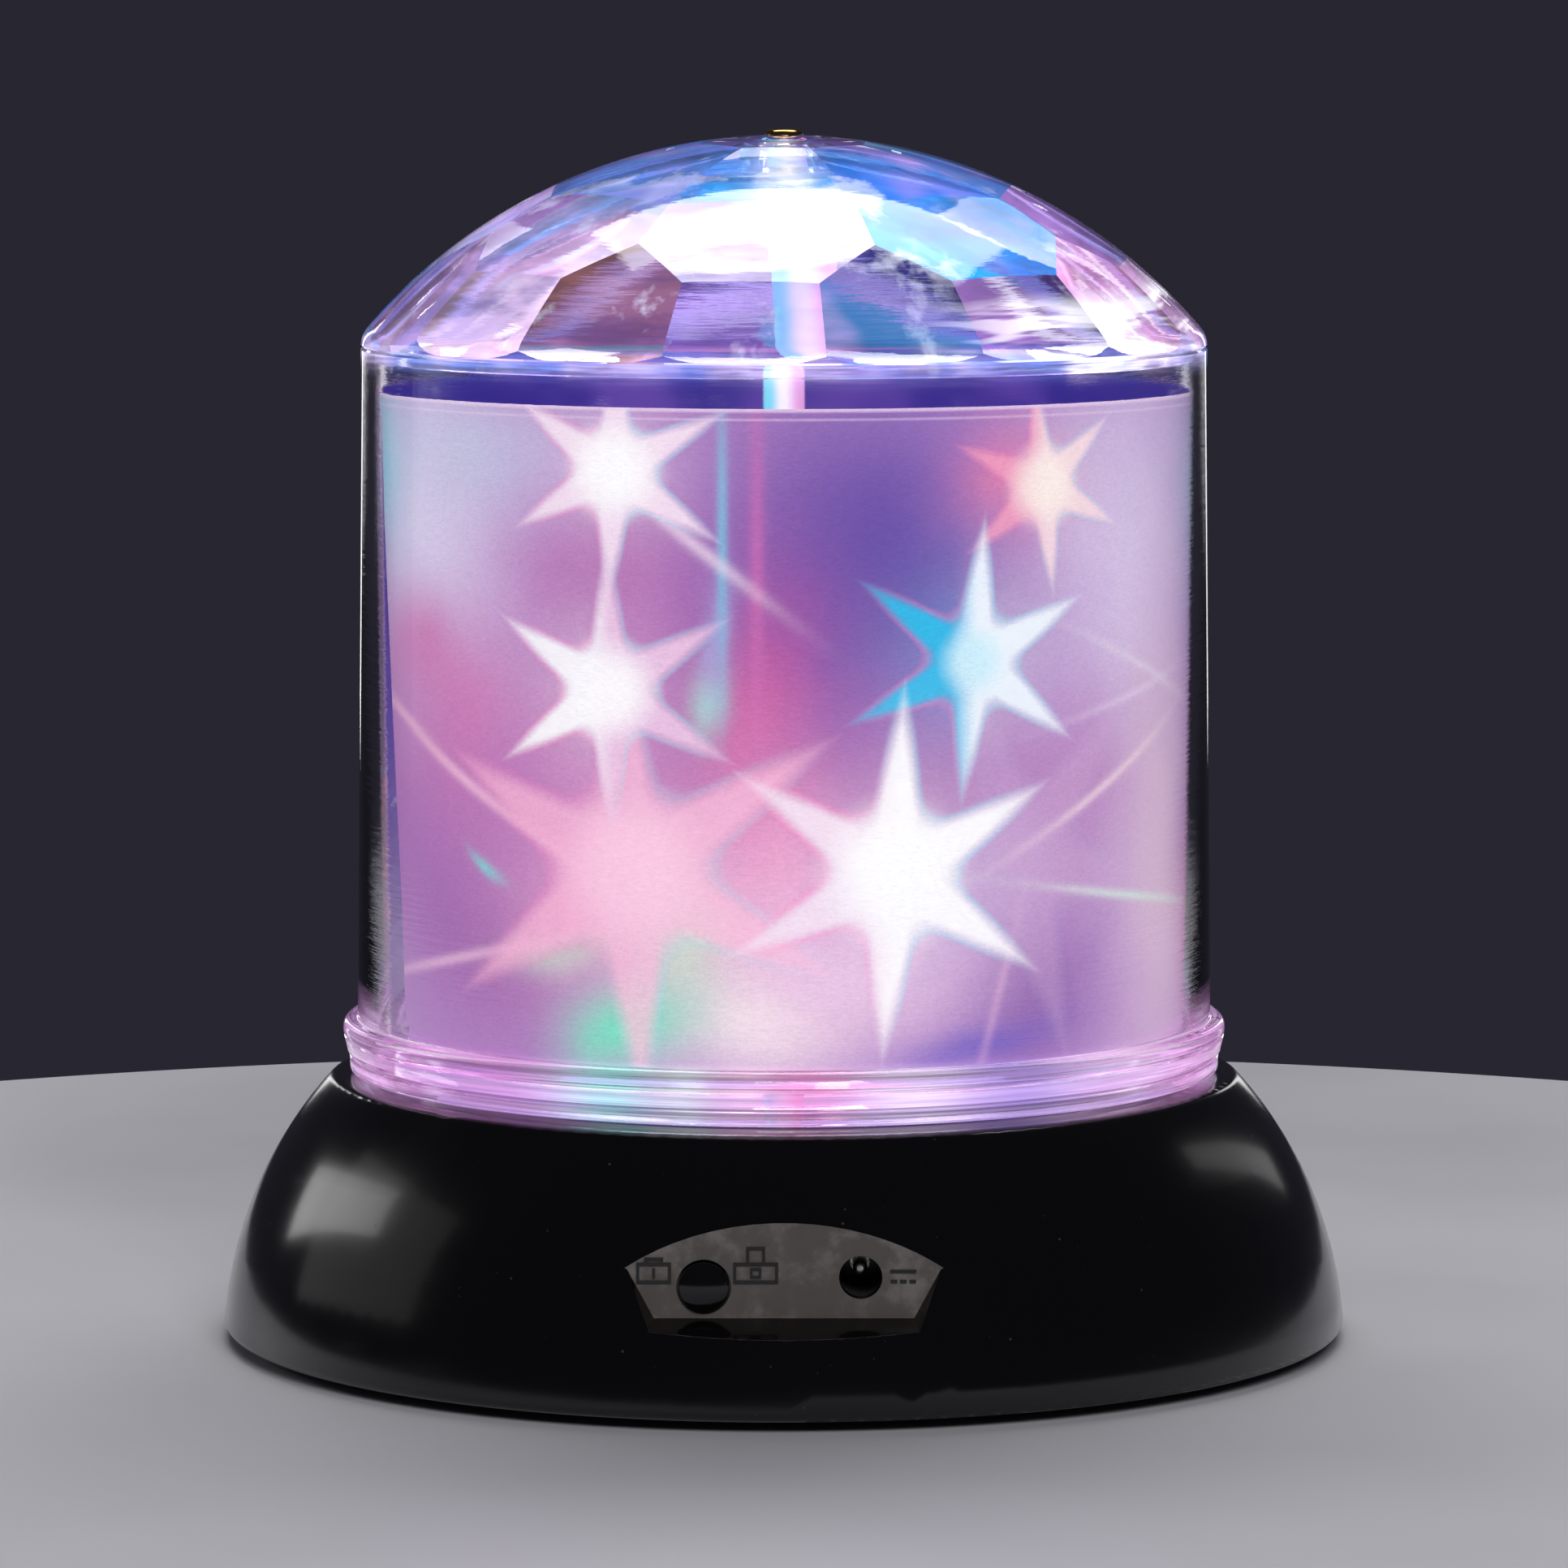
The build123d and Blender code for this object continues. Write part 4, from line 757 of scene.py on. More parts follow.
def back_stars() -> list[Star]:
    """Lays out the stars round the sides and back, staggered in three rows."""
    made = []
    hues = (PINK_WHITE, CYAN, ROSE, WHITE, tone(210, 180, 240))
    for column in range(5):
        for row in range(3):
            angle = 98 + 39 * column + (12 if row == 1 else 0)
            if angle > 262:
                continue
            reach = (25, 18, 15)[row] + 2.5 * ((column + row) % 3)
            left = hues[(column * 2 + row) % 5]
            right = hues[(column + 3 * row + 3) % 5]
            tilt = 0.07 * ((column + 2 * row) % 4 - 1.5)
            made.append(Star(angle, 73 + 28 * row, reach, left, right, WHITE, 0.9, tilt))
    return made


def back_glows() -> list[Glow]:
    """Lays out the painted patches of light round the sides and back."""
    hues = (MAGENTA, BLUE_PURPLE, tone(196, 178, 218), PURPLE, tone(150, 210, 230), ROSE)
    made = []
    for column in range(7):
        for row in range(3):
            angle = 84 + 27 * column + 9 * (row % 2)
            hue = hues[(column + 2 * row) % 6]
            made.append(Glow(angle, 60 + 33 * row, 17, 16, hue, 0.75, 20 * (row - 1)))
    return made


@dataclass(frozen=True)
class HologramFilm(Finish):
    """Lit film whose light is painted: soft colours, six-armed stars with coloured rims, and fine grain.
    """

    radius: float = 0.0596
    foot: float = 0.0469
    height: float = 0.093
    layer: str = "wrap"

    def star_group(self) -> bpy.types.NodeTree:
        """Builds the star's sum once, as a group.

        Returns:
            A group with the point and the star's place, reach and tilt as inputs, and
            its fill, core, rim, side and halo as outputs.
        """
        known = bpy.data.node_groups.get("film_star")
        if known:
            return known
        tree = bpy.data.node_groups.new("film_star", "ShaderNodeTree")
        for name in ("Along", "Up", "Star along", "Star up", "Reach", "Tilt", "Core"):
            tree.interface.new_socket(name, in_out="INPUT", socket_type="NodeSocketFloat")
        for name in ("Fill", "Core", "Rim", "Side", "Halo"):
            tree.interface.new_socket(name, in_out="OUTPUT", socket_type="NodeSocketFloat")
        graph = Graph(tree)
        given = graph.node("NodeGroupInput").outputs
        answer = graph.node("NodeGroupOutput").inputs
        across = graph.math("DIVIDE", graph.math("SUBTRACT", given[0], given[2]), given[4])
        rise = graph.math("DIVIDE", graph.math("SUBTRACT", given[1], given[3]), given[4])
        squares = graph.math("MULTIPLY_ADD", across, across, graph.times(rise, rise))
        far = graph.math("SQRT", squares)
        turn = graph.math("ADD", graph.math("ARCTAN2", across, rise), given[5])
        sector = graph.math("MULTIPLY_ADD", turn, 3 / math.pi, 6.5)
        fold = graph.math("ABSOLUTE", graph.math("SUBTRACT", graph.math("FRACT", sector), 0.5))
        arm = graph.math("SUBTRACT", 1.0, graph.times(fold, 2.0))
        taper = graph.math("POWER", arm, 2.8)
        edge = graph.math("MULTIPLY_ADD", taper, 0.64, 0.36)
        ratio = graph.math("DIVIDE", far, edge)
        graph.feed(answer[0], graph.ramp(ratio, 1.14, 0.7))
        graph.feed(answer[1], graph.ramp(graph.math("DIVIDE", far, given[6]), 1.0, 0.25))
        rim = graph.times(graph.ramp(ratio, 0.82, 1.0), graph.ramp(ratio, 1.2, 1.02))
        graph.feed(answer[2], graph.times(rim, graph.ramp(far, 1.1, 0.5)))
        graph.feed(answer[3], graph.ramp(across, -0.2, 0.06))
        graph.feed(answer[4], graph.math("EXPONENT", graph.times(squares, -2.6)))
        return tree

    def add_glow(self, graph: Graph, point: tuple, colour: object, glow: Glow) -> object:
        """Lays one soft patch over the colour so far.

        Args:
            graph: The material's graph.
            point: Sockets of the place along and up the film, in millimetres.
            colour: The colour so far.
            glow: The patch.

        Returns:
            The new colour's socket.
        """
        lean = math.radians(glow.turn)
        middle = math.radians(glow.angle) * self.radius / MM
        across = graph.math("SUBTRACT", point[0], middle)
        rise = graph.math("SUBTRACT", point[1], glow.height)
        if glow.turn:
            turned = graph.math(
                "MULTIPLY_ADD", across, math.cos(lean), graph.times(rise, math.sin(lean))
            )
            rise = graph.math(
                "MULTIPLY_ADD", rise, math.cos(lean),
                graph.times(across, -math.sin(lean)),
            )
            across = turned
        wide = graph.math("DIVIDE", across, glow.along)
        tall = graph.math("DIVIDE", rise, glow.up)
        squares = graph.math("MULTIPLY_ADD", wide, wide, graph.times(tall, tall))
        fade = graph.fade(squares)
        return graph.mix(graph.times(fade, glow.strength), colour, glow.colour)

    def add_star(self, graph: Graph, point: tuple, colour: object, star: Star) -> object:
        """Lays one star over the colour so far.

        Args:
            graph: The material's graph.
            point: Sockets of the place along and up the film, in millimetres.
            colour: The colour so far.
            star: The star.

        Returns:
            The new colour's socket.
        """
        made = graph.node("ShaderNodeGroup", node_tree=self.star_group())
        middle = math.radians(star.angle) * self.radius / MM
        values = (*point, middle, star.height, star.reach, star.tilt, star.core_size)
        for socket, value in zip(made.inputs, values):
            graph.feed(socket, value)
        fill, core, rim, side, halo = made.outputs
        # The halo is a painted glow round the star.
        colour = graph.mix(
            graph.times(halo, 0.34 * star.fill), colour, graph.mix(side, star.left, star.right)
        )
        fringe = graph.mix(side, tone(255, 120, 190), tone(120, 235, 250))
        colour = graph.mix(graph.times(rim, 0.3 * star.fill ** 2), colour, fringe)
        body = graph.mix(side, star.left, star.right)
        colour = graph.mix(graph.times(fill, star.fill), colour, body)
        return graph.mix(graph.times(core, star.fill), colour, star.core)

    def paint(self, graph: Graph) -> None:
        """Links the film's painted light: colours, stars, edge lines and grain."""
        wrap = graph.node("ShaderNodeUVMap", uv_map=self.layer).outputs[0]
        split = graph.node("ShaderNodeSeparateXYZ")
        graph.feed(split.inputs[0], wrap)
        around = 2 * math.pi * self.radius / MM
        along = graph.times(split.outputs[0], around)
        up = graph.math("MULTIPLY_ADD", split.outputs[1], self.height / MM, self.foot / MM)
        wobble = graph.math("SUBTRACT", graph.noise(45.0, 2.0), 0.5)
        along_soft = graph.math("MULTIPLY_ADD", wobble, 9.0, along)
        up_soft = graph.math("MULTIPLY_ADD", wobble, 6.0, up)
        colour: object = LILAC
        for glow in (*back_glows(), *GLOWS):
            colour = self.add_glow(graph, (along_soft, up_soft), colour, glow)
        for glow in STREAKS:
            colour = self.add_glow(graph, (along, up), colour, glow)
        for star in (*back_stars(), *STARS):
            colour = self.add_star(graph, (along, up), colour, star)
        top = (self.foot + self.height) / MM
        lip = graph.ramp(up, top - 0.7, top - 0.2)
        inner_line = graph.math("ABSOLUTE", graph.math("SUBTRACT", up, top - 1.5))
        lip = graph.math("ADD", lip, graph.ramp(inner_line, 0.3, 0.05, 0.0, 0.5), clamp=True)
        colour = graph.mix(graph.times(lip, 0.7), colour, tone(240, 214, 238))
        brushed = graph.noise(1.0, 4.0, graph.stretched((900.0, 900.0, 5200.0)), 0.7)
        grain = graph.noise(3400.0, 2.0)
        level = graph.math(
            "MULTIPLY", graph.ramp(brushed, 0.3, 0.7, 0.93, 1.06), graph.ramp(grain, 0.3, 0.7, 0.95, 1.04)
        )
        lit = graph.mix(1.0, colour, graph.grey(level), "MULTIPLY")
        # The film is no lamp: its whole colour is painted light, given as emission.
        graph.surface("Emission Color", lit)
        graph.surface("Base Color", graph.mix(0.75, lit, (0.02, 0.015, 0.03)))
        graph.surface("Roughness", graph.ramp(brushed, 0.3, 0.7, 0.28, 0.45))
        graph.surface("Normal", graph.bump(brushed, 0.3, 0.00003))


@dataclass(frozen=True)
class FilmInside(Finish):
    """Back of the film with a painted glow: deep blue at the top, lilac lower down, faint painted glints.
    """

    foot: float = 0.0469
    height: float = 0.093

    def paint(self, graph: Graph) -> None:
        """Links the painted glow's climb from lilac to deep blue and its painted glints."""
        share = graph.math("DIVIDE", graph.math("SUBTRACT", graph.axis("Z"), self.foot), self.height)
        low = graph.mix(graph.ramp(share, 0.0, 0.5), tone(150, 128, 172), tone(96, 74, 160))
        colour = graph.mix(graph.ramp(share, 0.5, 0.86), low, tone(54, 40, 140))
        patch = graph.noise(32.0, 2.0)
        colour = graph.mix(graph.ramp(patch, 0.5, 0.7, 0.0, 0.6), colour, tone(120, 84, 180))
        glint = graph.noise(1.0, 3.0, graph.stretched((60.0, 60.0, 420.0)))
        colour = graph.mix(graph.ramp(glint, 0.62, 0.78, 0.0, 0.6), colour, tone(206, 190, 230))
        # The whole colour is painted light, given as emission.
        graph.surface("Emission Color", colour)
        graph.surface("Base Color", graph.mix(0.7, colour, (0.02, 0.015, 0.03)))
        graph.surface("Roughness", graph.ramp(glint, 0.3, 0.7, 0.3, 0.5))


@dataclass(frozen=True)
class LitReflector(Finish):
    """White plate round the lights with a painted spot of the lights' colour at each one."""

    light_pools: tuple[tuple[float, Colour], ...] = ()
    circle: float = 0.014
    reach: float = 0.009

    def paint(self, graph: Graph) -> None:
        """Links the painted spots of light and the plate's satin skin."""
        colour: object = tone(120, 105, 150)
        for degrees, hue in self.light_pools:
            spot = front_place(self.circle, degrees, 0.0)
            across = graph.math("DIVIDE", graph.math("SUBTRACT", graph.axis("X"), spot.x), self.reach)
            back = graph.math("DIVIDE", graph.math("SUBTRACT", graph.axis("Y"), spot.y), self.reach)
            squares = graph.math("MULTIPLY_ADD", across, across, graph.times(back, back))
            light_pool = graph.fade(squares)
            colour = graph.mix(light_pool, colour, hue)
        # The whole colour is also emission: a painted glow.
        graph.surface("Emission Color", colour)
        graph.surface("Base Color", graph.mix(0.5, colour, (0.75, 0.75, 0.78)))
        graph.surface("Roughness", graph.ramp(graph.noise(90.0), 0.3, 0.7, 0.3, 0.5))
        graph.surface("Normal", graph.bump(graph.noise(900.0), 0.3, 0.00003))


@dataclass(frozen=True)
class LedLens(Finish):
    """Tinted epoxy lens, brightest at its nose."""

    colour: Colour = (1.0, 0.1, 0.1)
    foot: float = 0.0346

    def paint(self, graph: Graph) -> None:
        """Links the glow that climbs to the nose."""
        climb = graph.ramp(graph.axis("Z"), self.foot, self.foot + 0.008)
        hot = graph.mix(graph.ramp(climb, 0.4, 1.0), self.colour, WHITE)
        graph.surface("Emission Color", graph.mix(climb, (0.0, 0.0, 0.0), hot))
        graph.surface("Base Color", graph.mix(0.4, self.colour, hot))
        graph.surface("Roughness", graph.ramp(graph.noise(700.0), 0.3, 0.7, 0.08, 0.2))


@dataclass(frozen=True)
class CircuitBoard(Finish):
    """Green solder mask over faint copper tracks."""

    def paint(self, graph: Graph) -> None:
        """Links the tracks under the mask."""
        cells = graph.node("ShaderNodeTexVoronoi", feature="DISTANCE_TO_EDGE", distance="MANHATTAN")
        graph.feed(cells.inputs["Vector"], graph.place())
        cells.inputs["Scale"].default_value = 210.0
        track = graph.ramp(cells.outputs["Distance"], 0.1, 0.06)
        colour = graph.mix(track, tone(14, 74, 40), tone(46, 128, 70))
        graph.surface("Base Color", colour)
        graph.surface("Roughness", graph.ramp(graph.noise(400.0), 0.3, 0.7, 0.25, 0.4))
        graph.surface("Normal", graph.bump(track, 0.4, 0.00004))


@dataclass(frozen=True)
class CellSleeve(Finish):
    """Plain shrink sleeve in two colours with bare ends."""

    split_x: float = 0.009
    facing: float = 1.0
    colour: Colour = field(default_factory=lambda: tone(24, 34, 92))
    cap: Colour = field(default_factory=lambda: tone(190, 122, 46))

    def paint(self, graph: Graph) -> None:
        """Links the two bands and the sleeve's creases."""
        along = graph.times(graph.axis("X"), self.facing)
        band = graph.ramp(along, self.split_x, self.split_x + 0.0002)
        scuff = graph.ramp(graph.noise(180.0, 5.0), 0.55, 0.75, 0.0, 0.4)
        colour = graph.mix(scuff, graph.mix(band, self.colour, self.cap), tone(190, 190, 196))
        graph.surface("Base Color", colour)
        graph.surface("Roughness", graph.ramp(graph.noise(120.0), 0.3, 0.7, 0.2, 0.4))
        crease = graph.noise(1.0, 3.0, graph.stretched((150.0, 500.0, 500.0)))
        graph.surface("Normal", graph.bump(crease, 0.4, 0.00006))


@dataclass(frozen=True)
class PaleFloor(Finish):
    """Plain pale table top with a faint drift."""

    colour: Colour = field(default_factory=lambda: tone(214, 214, 220))

    def paint(self, graph: Graph) -> None:
        """Links a very faint drift of tone and sheen."""
        drift = graph.ramp(graph.noise(3.0, 3.0), 0.3, 0.7)
        darker = tuple(c * 0.94 for c in self.colour)
        graph.surface("Base Color", graph.mix(drift, self.colour, darker))
        graph.surface("Roughness", graph.ramp(graph.noise(9.0, 4.0), 0.3, 0.7, 0.42, 0.55))


ACETAL = Moulding("acetal", colour=tone(226, 223, 212), worn=tone(200, 196, 184), rough_low=0.3)
ZINC_PLATE = Metal("zinc_plate", (("Metallic", 1.0),))


# --------------------------------------------------------------------------- the studio
class LightPlace(Enum):
    """Where each soft light stands: angle from the front, distance, height, size, power."""

    LEFT_SOFTBOX = (-116.0, 0.85, 0.3, 0.16, 0.5, 0.5)
    LEFT_WRAP = (-100.0, 0.85, 0.3, 0.4, 0.6, 0.2)
    RIGHT_STRIP = (130.0, 0.85, 0.3, 0.07, 0.5, 0.06)
    LEFT_RIM = (-160.0, 0.8, 0.16, 0.04, 0.3, 0.07)
    RIGHT_RIM = (160.0, 0.8, 0.16, 0.04, 0.3, 0.06)
    OVERHEAD = (176.0, 0.62, 1.3, 1.1, 0.5, 9.0)
    FRONT_FILL = (8.0, 1.2, 0.8, 0.7, 0.5, 9.0)


@dataclass
class Studio:
    """Camera, pale floor, soft lights and a dim neutral surround."""

    eye: tuple[float, float, float] = (0.0, -1.109, 0.1967)
    aim_height: float = 0.0815
    lens: float = 174.0
    surround: Colour = (0.021, 0.020, 0.030)
    floor_radius: float = 0.3
    floor_depth: float = 0.012

    def camera(self) -> None:
        """Sets up the camera."""
        data = bpy.data.cameras.new("camera")
        data.lens = self.lens
        data.sensor_width = 36.0
        data.clip_start = 0.01
        camera = bpy.data.objects.new("camera", data)
        bpy.context.scene.collection.objects.link(camera)
        eye = Vector(self.eye)
        camera.location = eye
        look = Vector((0.0, 0.0, self.aim_height)) - eye
        camera.rotation_euler = look.to_track_quat("-Z", "Y").to_euler()
        bpy.context.scene.camera = camera
        bpy.context.scene.view_settings.view_transform = "Standard"

    def floor(self) -> None:
        """Lays the pale floor, a wide round top with a softened edge."""
        deselect()
        bpy.ops.mesh.primitive_cylinder_add(
            vertices=256, radius=self.floor_radius, depth=self.floor_depth,
            location=(0, 0, -self.floor_depth / 2),
        )
        floor = bpy.context.object
        floor.name = "table_top"
        settle(floor)
        apply_modifier(floor, "BEVEL", width=self.floor_depth / 4, segments=4)
        smooth(floor, 32)
        PaleFloor("pale_floor").dress(floor)

    def lights(self) -> None:
        """Hangs the soft lights and sets the dim surround."""
        for place in LightPlace:
            degrees, distance, height, wide, tall, power = place.value
            data = bpy.data.lights.new(place.name.lower(), "AREA")
            data.shape = "RECTANGLE"
            data.size = wide
            data.size_y = tall
            data.energy = power
            light = bpy.data.objects.new(place.name.lower(), data)
            bpy.context.scene.collection.objects.link(light)
            light.location = front_place(distance, degrees, height)
            look = Vector((0.0, 0.0, 0.06)) - light.location
            light.rotation_euler = look.to_track_quat("-Z", "Z").to_euler()
            light.visible_glossy = place is not LightPlace.FRONT_FILL
        world = bpy.data.worlds.new("surround")
        world.use_nodes = True
        sky = world.node_tree.nodes["Background"]
        sky.inputs[0].default_value = (*self.surround, 1.0)
        bpy.context.scene.world = world

    def build(self) -> None:
        """Sets up the whole studio."""
        self.camera()
        self.floor()
        self.lights()


# --------------------------------------------------------------------------- the base
@dataclass
class Base:
    """The black bowl, its bottom cover, feet and fasteners."""

    body: str = "base"
    foot_places: tuple[str, ...] = ("front", "right", "rear", "left")
    panel_depths: tuple[float, float] = (-0.0747, -0.0745)
    panel_half: float = 0.023

    def build(self) -> None:
        """Dresses the bowl, the cover, the feet and the screws."""
        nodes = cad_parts
        bowl = polished_copy("base_housing", "bowl_shell", 24)
        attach(bowl, self.body)
        gloss = (("Specular IOR Level", 0.5), ("Coat Weight", 0.25), ("Coat Roughness", 0.09))
        GlossBlack("bowl_gloss_black", gloss).dress(bowl)
        self.dress_panel(bowl)
        cover = Moulding("cover_black", colour=(0.012, 0.012, 0.013), worn=(0.03, 0.03, 0.032))
        cover.dress(nodes["base_plate"], nodes["battery_door"])
        rubber = Moulding(
            "foot_rubber", colour=(0.01, 0.01, 0.01), worn=(0.05, 0.048, 0.045),
            rough_low=0.7, rough_high=0.9, grain=500.0,
        )
        rubber.dress(*[nodes["foot_" + place] for place in self.foot_places])
        for name in ("base_screws", "battery_door_screw"):
            ZINC_PLATE.dress(nodes[name])
        LOG.info("base: bowl, cover, door, feet and screws dressed")

    def dress_panel(self, bowl: bpy.types.Object) -> None:
        """Gives the panel's flat face a satin finish, under the glossy raised symbols.

        Args:
            bowl: The bowl's shell.
        """
        bowl.data.materials.append(PanelFace("panel_satin").material())
        satin = len(bowl.data.materials) - 1
        near, far = self.panel_depths
        for face in bowl.data.polygons:
            flat = face.normal.y < -0.995 and near < face.center.y < far
            if flat and abs(face.center.x) < self.panel_half:
                face.material_index = satin


@dataclass
class ControlPanel:
    """Push button and DC socket in the bowl's pocket."""

    def build(self) -> None:
        """Dresses the cap, the switch and the socket."""
        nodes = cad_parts
        cap = polished_copy("power_button", "button_cap", 24)
        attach(cap, "button")
        gloss = (("Coat Weight", 0.3), ("Coat Roughness", 0.04))
        GlossBlack("button_gloss_black", gloss).dress(cap)
        dark = Moulding("socket_black", rough_low=0.25, rough_high=0.4)
        dark.dress(nodes["dc_socket_body"], nodes["push_switch_body"])
        Metal("contact_nickel", (("Metallic", 1.0),), (0.66, 0.63, 0.56)).dress(
            nodes["dc_socket_pin"], nodes["dc_socket_contact"]
        )
        ACETAL.dress(nodes["switch_plunger"])
        LOG.info("control panel: cap, switch and socket dressed")


@dataclass
class Works:
    """Everything inside the base: drive, boards, cells and leads."""

    acetal_nodes: tuple[str, ...] = (
        "motor_pinion", "spindle_gear", "pivot_bearing", "thrust_washer", "spindle_bush",
    )
    steel_nodes: tuple[str, ...] = (
        "motor_can", "output_shaft", "gearmotor_screws", "battery_contacts", "battery_springs",
        "reflector_screws", "led_board_screws", "control_board_screws",
    )
    led_angles: tuple[float, ...] = (30.0, 150.0, 270.0)
    led_tones: tuple[tuple[str, Colour], ...] = (
        ("red", (1.0, 0.12, 0.2)), ("green", (0.1, 0.95, 0.5)), ("blue", (0.12, 0.3, 1.0)),
    )

    def build(self) -> None:
        """Dresses the drive, the boards, the lights, the cells and the leads."""
        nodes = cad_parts
        ACETAL.dress(*[nodes[name] for name in self.acetal_nodes])
        ZINC_PLATE.dress(*[nodes[name] for name in self.steel_nodes])
        case = Moulding("gearbox_white", colour=tone(222, 222, 218), worn=tone(190, 190, 186))
        case.dress(nodes["gearmotor_case"], nodes["gearmotor_lid"])
        CircuitBoard("solder_mask").dress(nodes["led_board"], nodes["control_board"])
        chips = Moulding("chip_black", rough_low=0.4, rough_high=0.6)
        chips.dress(nodes["board_components"], nodes["led_resistors"])
        for index in range(3):
            facing = 1.0 if index % 2 == 0 else -1.0
            sleeve = CellSleeve(f"cell_sleeve_{index + 1}", facing=facing)
            sleeve.dress(nodes[f"battery_cell_{index + 1}"])
        lead_tones = (tone(170, 24, 22), tone(30, 60, 160), tone(200, 190, 60))
        for name, hue in zip(("battery_lead", "motor_lead", "led_lead"), lead_tones):
            worn = tuple(c * 0.7 for c in hue)
            Moulding(name + "_sleeve", colour=hue, worn=worn, grain=1500.0).dress(nodes[name])
        light_pools = []
        for degrees, (name, hue) in zip(self.led_angles, self.led_tones):
            light_pools.append((degrees, hue))
            glow = (("Emission Strength", 3.0), ("Transmission Weight", 0.4), ("IOR", 1.5))
            LedLens(f"led_{name}_lens", glow, hue).dress(nodes["led_" + name])
        # The plate gets painted spots of the lights' colours and a painted glow.
        plate = LitReflector("reflector_white", (("Emission Strength", 0.7),), tuple(light_pools))
        plate.dress(nodes["reflector_plate"])
        LOG.info("works: drive, boards, lights, cells and leads dressed")


# --------------------------------------------------------------------------- the drum
@dataclass
class Drum:
    """The turning drum: tube, ring, film, dome, spindle and top screw.

    Sizes are in metres; heights that another piece fixes are read from the model's parts.
    """

    body: str = "drum"
    segments: int = 192
    tube_foot_radius: float = 0.0628
    tube_head_radius: float = 0.0618
    tube_wall: float = 0.002
    flange_height: float = 0.0051
    flange_draft: float = 0.0006
    flange_round: float = 0.0013
    ring_lip_height: float = 0.0021
    groove_height: float = 0.0004
    groove_depth: float = 0.0004
    spigot_wall: float = 0.0033
    plug_gap: float = 0.0001
    skirt_wall: float = 0.0025
    lens_thickness: float = 0.005
    edge_height: float = 0.0016
    shoulder_round: float = 0.0042
    spot_face_radius: float = 0.00315
    spot_face_depth: float = 0.0007
    facet_front: float = -5.5
    facet_rows: tuple[tuple[float, int], ...] = ((0.34, 8), (0.63, 8), (0.91, 16))
    film_gap: float = 0.0002
    film_thickness: float = 0.00025
    film_edge_top: float = -73.0
    film_edge_foot: float = -63.0
    film_far_edge: float = -90.0

    def clear(self, name: str, **settings: object) -> ClearPlastic:
        """Gives a clear plastic finish with the drum's shared numbers."""
        numbers = (("Transmission Weight", 1.0), ("IOR", 1.49), ("Specular IOR Level", 0.5))
        return ClearPlastic(name, numbers, **settings)

    def fit(self, piece: bpy.types.Object, node: str) -> None:
        """Rides a piece on the drum in place of a node."""
        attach(piece, self.body)
        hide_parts(node)
        LOG.info("drum: %s", piece.name)

    def build_tube(self) -> None:
        """Models the clear tube with its flange, bead and softened edges."""
        low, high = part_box("drum_tube")
        foot, top, wide = low[2], high[2], high[0]
        flange_top = foot + self.flange_height
        root = (self.tube_foot_radius, flange_top)
        outer_low = (wide - self.flange_draft, foot)
        bulge = (wide, foot + self.flange_height * 0.6)
        crown = (wide, flange_top)
        bore_foot = self.tube_foot_radius - self.tube_wall
        bore_head = self.tube_head_radius - self.tube_wall
        profile = [(bore_foot, foot), (outer_low[0] - 0.0003, foot), (outer_low[0], foot + 0.0003)]
        profile += [(wide - 0.0001, foot + 0.0024), (wide - 0.0004, foot + 0.0027), bulge]
        profile += rounded(crown, bulge, root, self.flange_round, 6)
        profile += rounded(root, crown, (self.tube_head_radius, top), 0.0005, 4)
        profile += [(self.tube_head_radius + 0.00002, top - 0.0004)]
        profile += [(self.tube_head_radius - 0.0003, top), (bore_head + 0.0003, top)]
        profile += [(bore_head, top - 0.0004)]
        tube = turn_profile("clear_tube", profile, self.segments, True)
        smooth(tube, 32)
        # Painted glow at the tube's foot and a painted glowing belt at its rim.
        glow = {"glow_low": 0.42, "glow_foot": foot + 0.004, "glow_top": flange_top + 0.001}
        glow["rim_height"] = top
        self.clear("tube_clear", glow_tone=tone(186, 128, 186), **glow).dress(tube)
        self.fit(tube, "drum_tube")

    def build_ring(self) -> None:
        """Models the clear ring at the drum's foot with its pry notch."""
        low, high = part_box("film_retainer_ring")
        foot, top, wide = low[2], high[2], high[0]
        lip = foot + self.ring_lip_height
        neck = lip + self.groove_height
        outer = self.tube_foot_radius - self.tube_wall - self.plug_gap
        inner = outer - self.spigot_wall
        profile = [(inner, foot + 0.0005), (inner + 0.0005, foot)]
        profile += rounded((wide, foot), (inner, foot), (wide, lip), 0.0005, 4)
        profile += [(wide, lip - 0.0002), (wide - 0.0002, lip), (wide - self.groove_depth, lip)]
        profile += [(wide - self.groove_depth, neck), (outer, neck), (outer, top - 0.0003)]
        profile += [(outer - 0.0003, top), (inner + 0.0003, top), (inner, top - 0.0003)]
        ring = turn_profile("retainer_ring", profile, self.segments, True)
        smooth(ring, 32)
        # Painted glow at the ring's foot.
        glow = {"glow_low": 0.42, "glow_foot": foot + 0.002, "glow_top": top + 0.001}
        self.clear("ring_clear", glow_tone=tone(190, 128, 190), **glow).dress(ring)
        self.fit(ring, "film_retainer_ring")

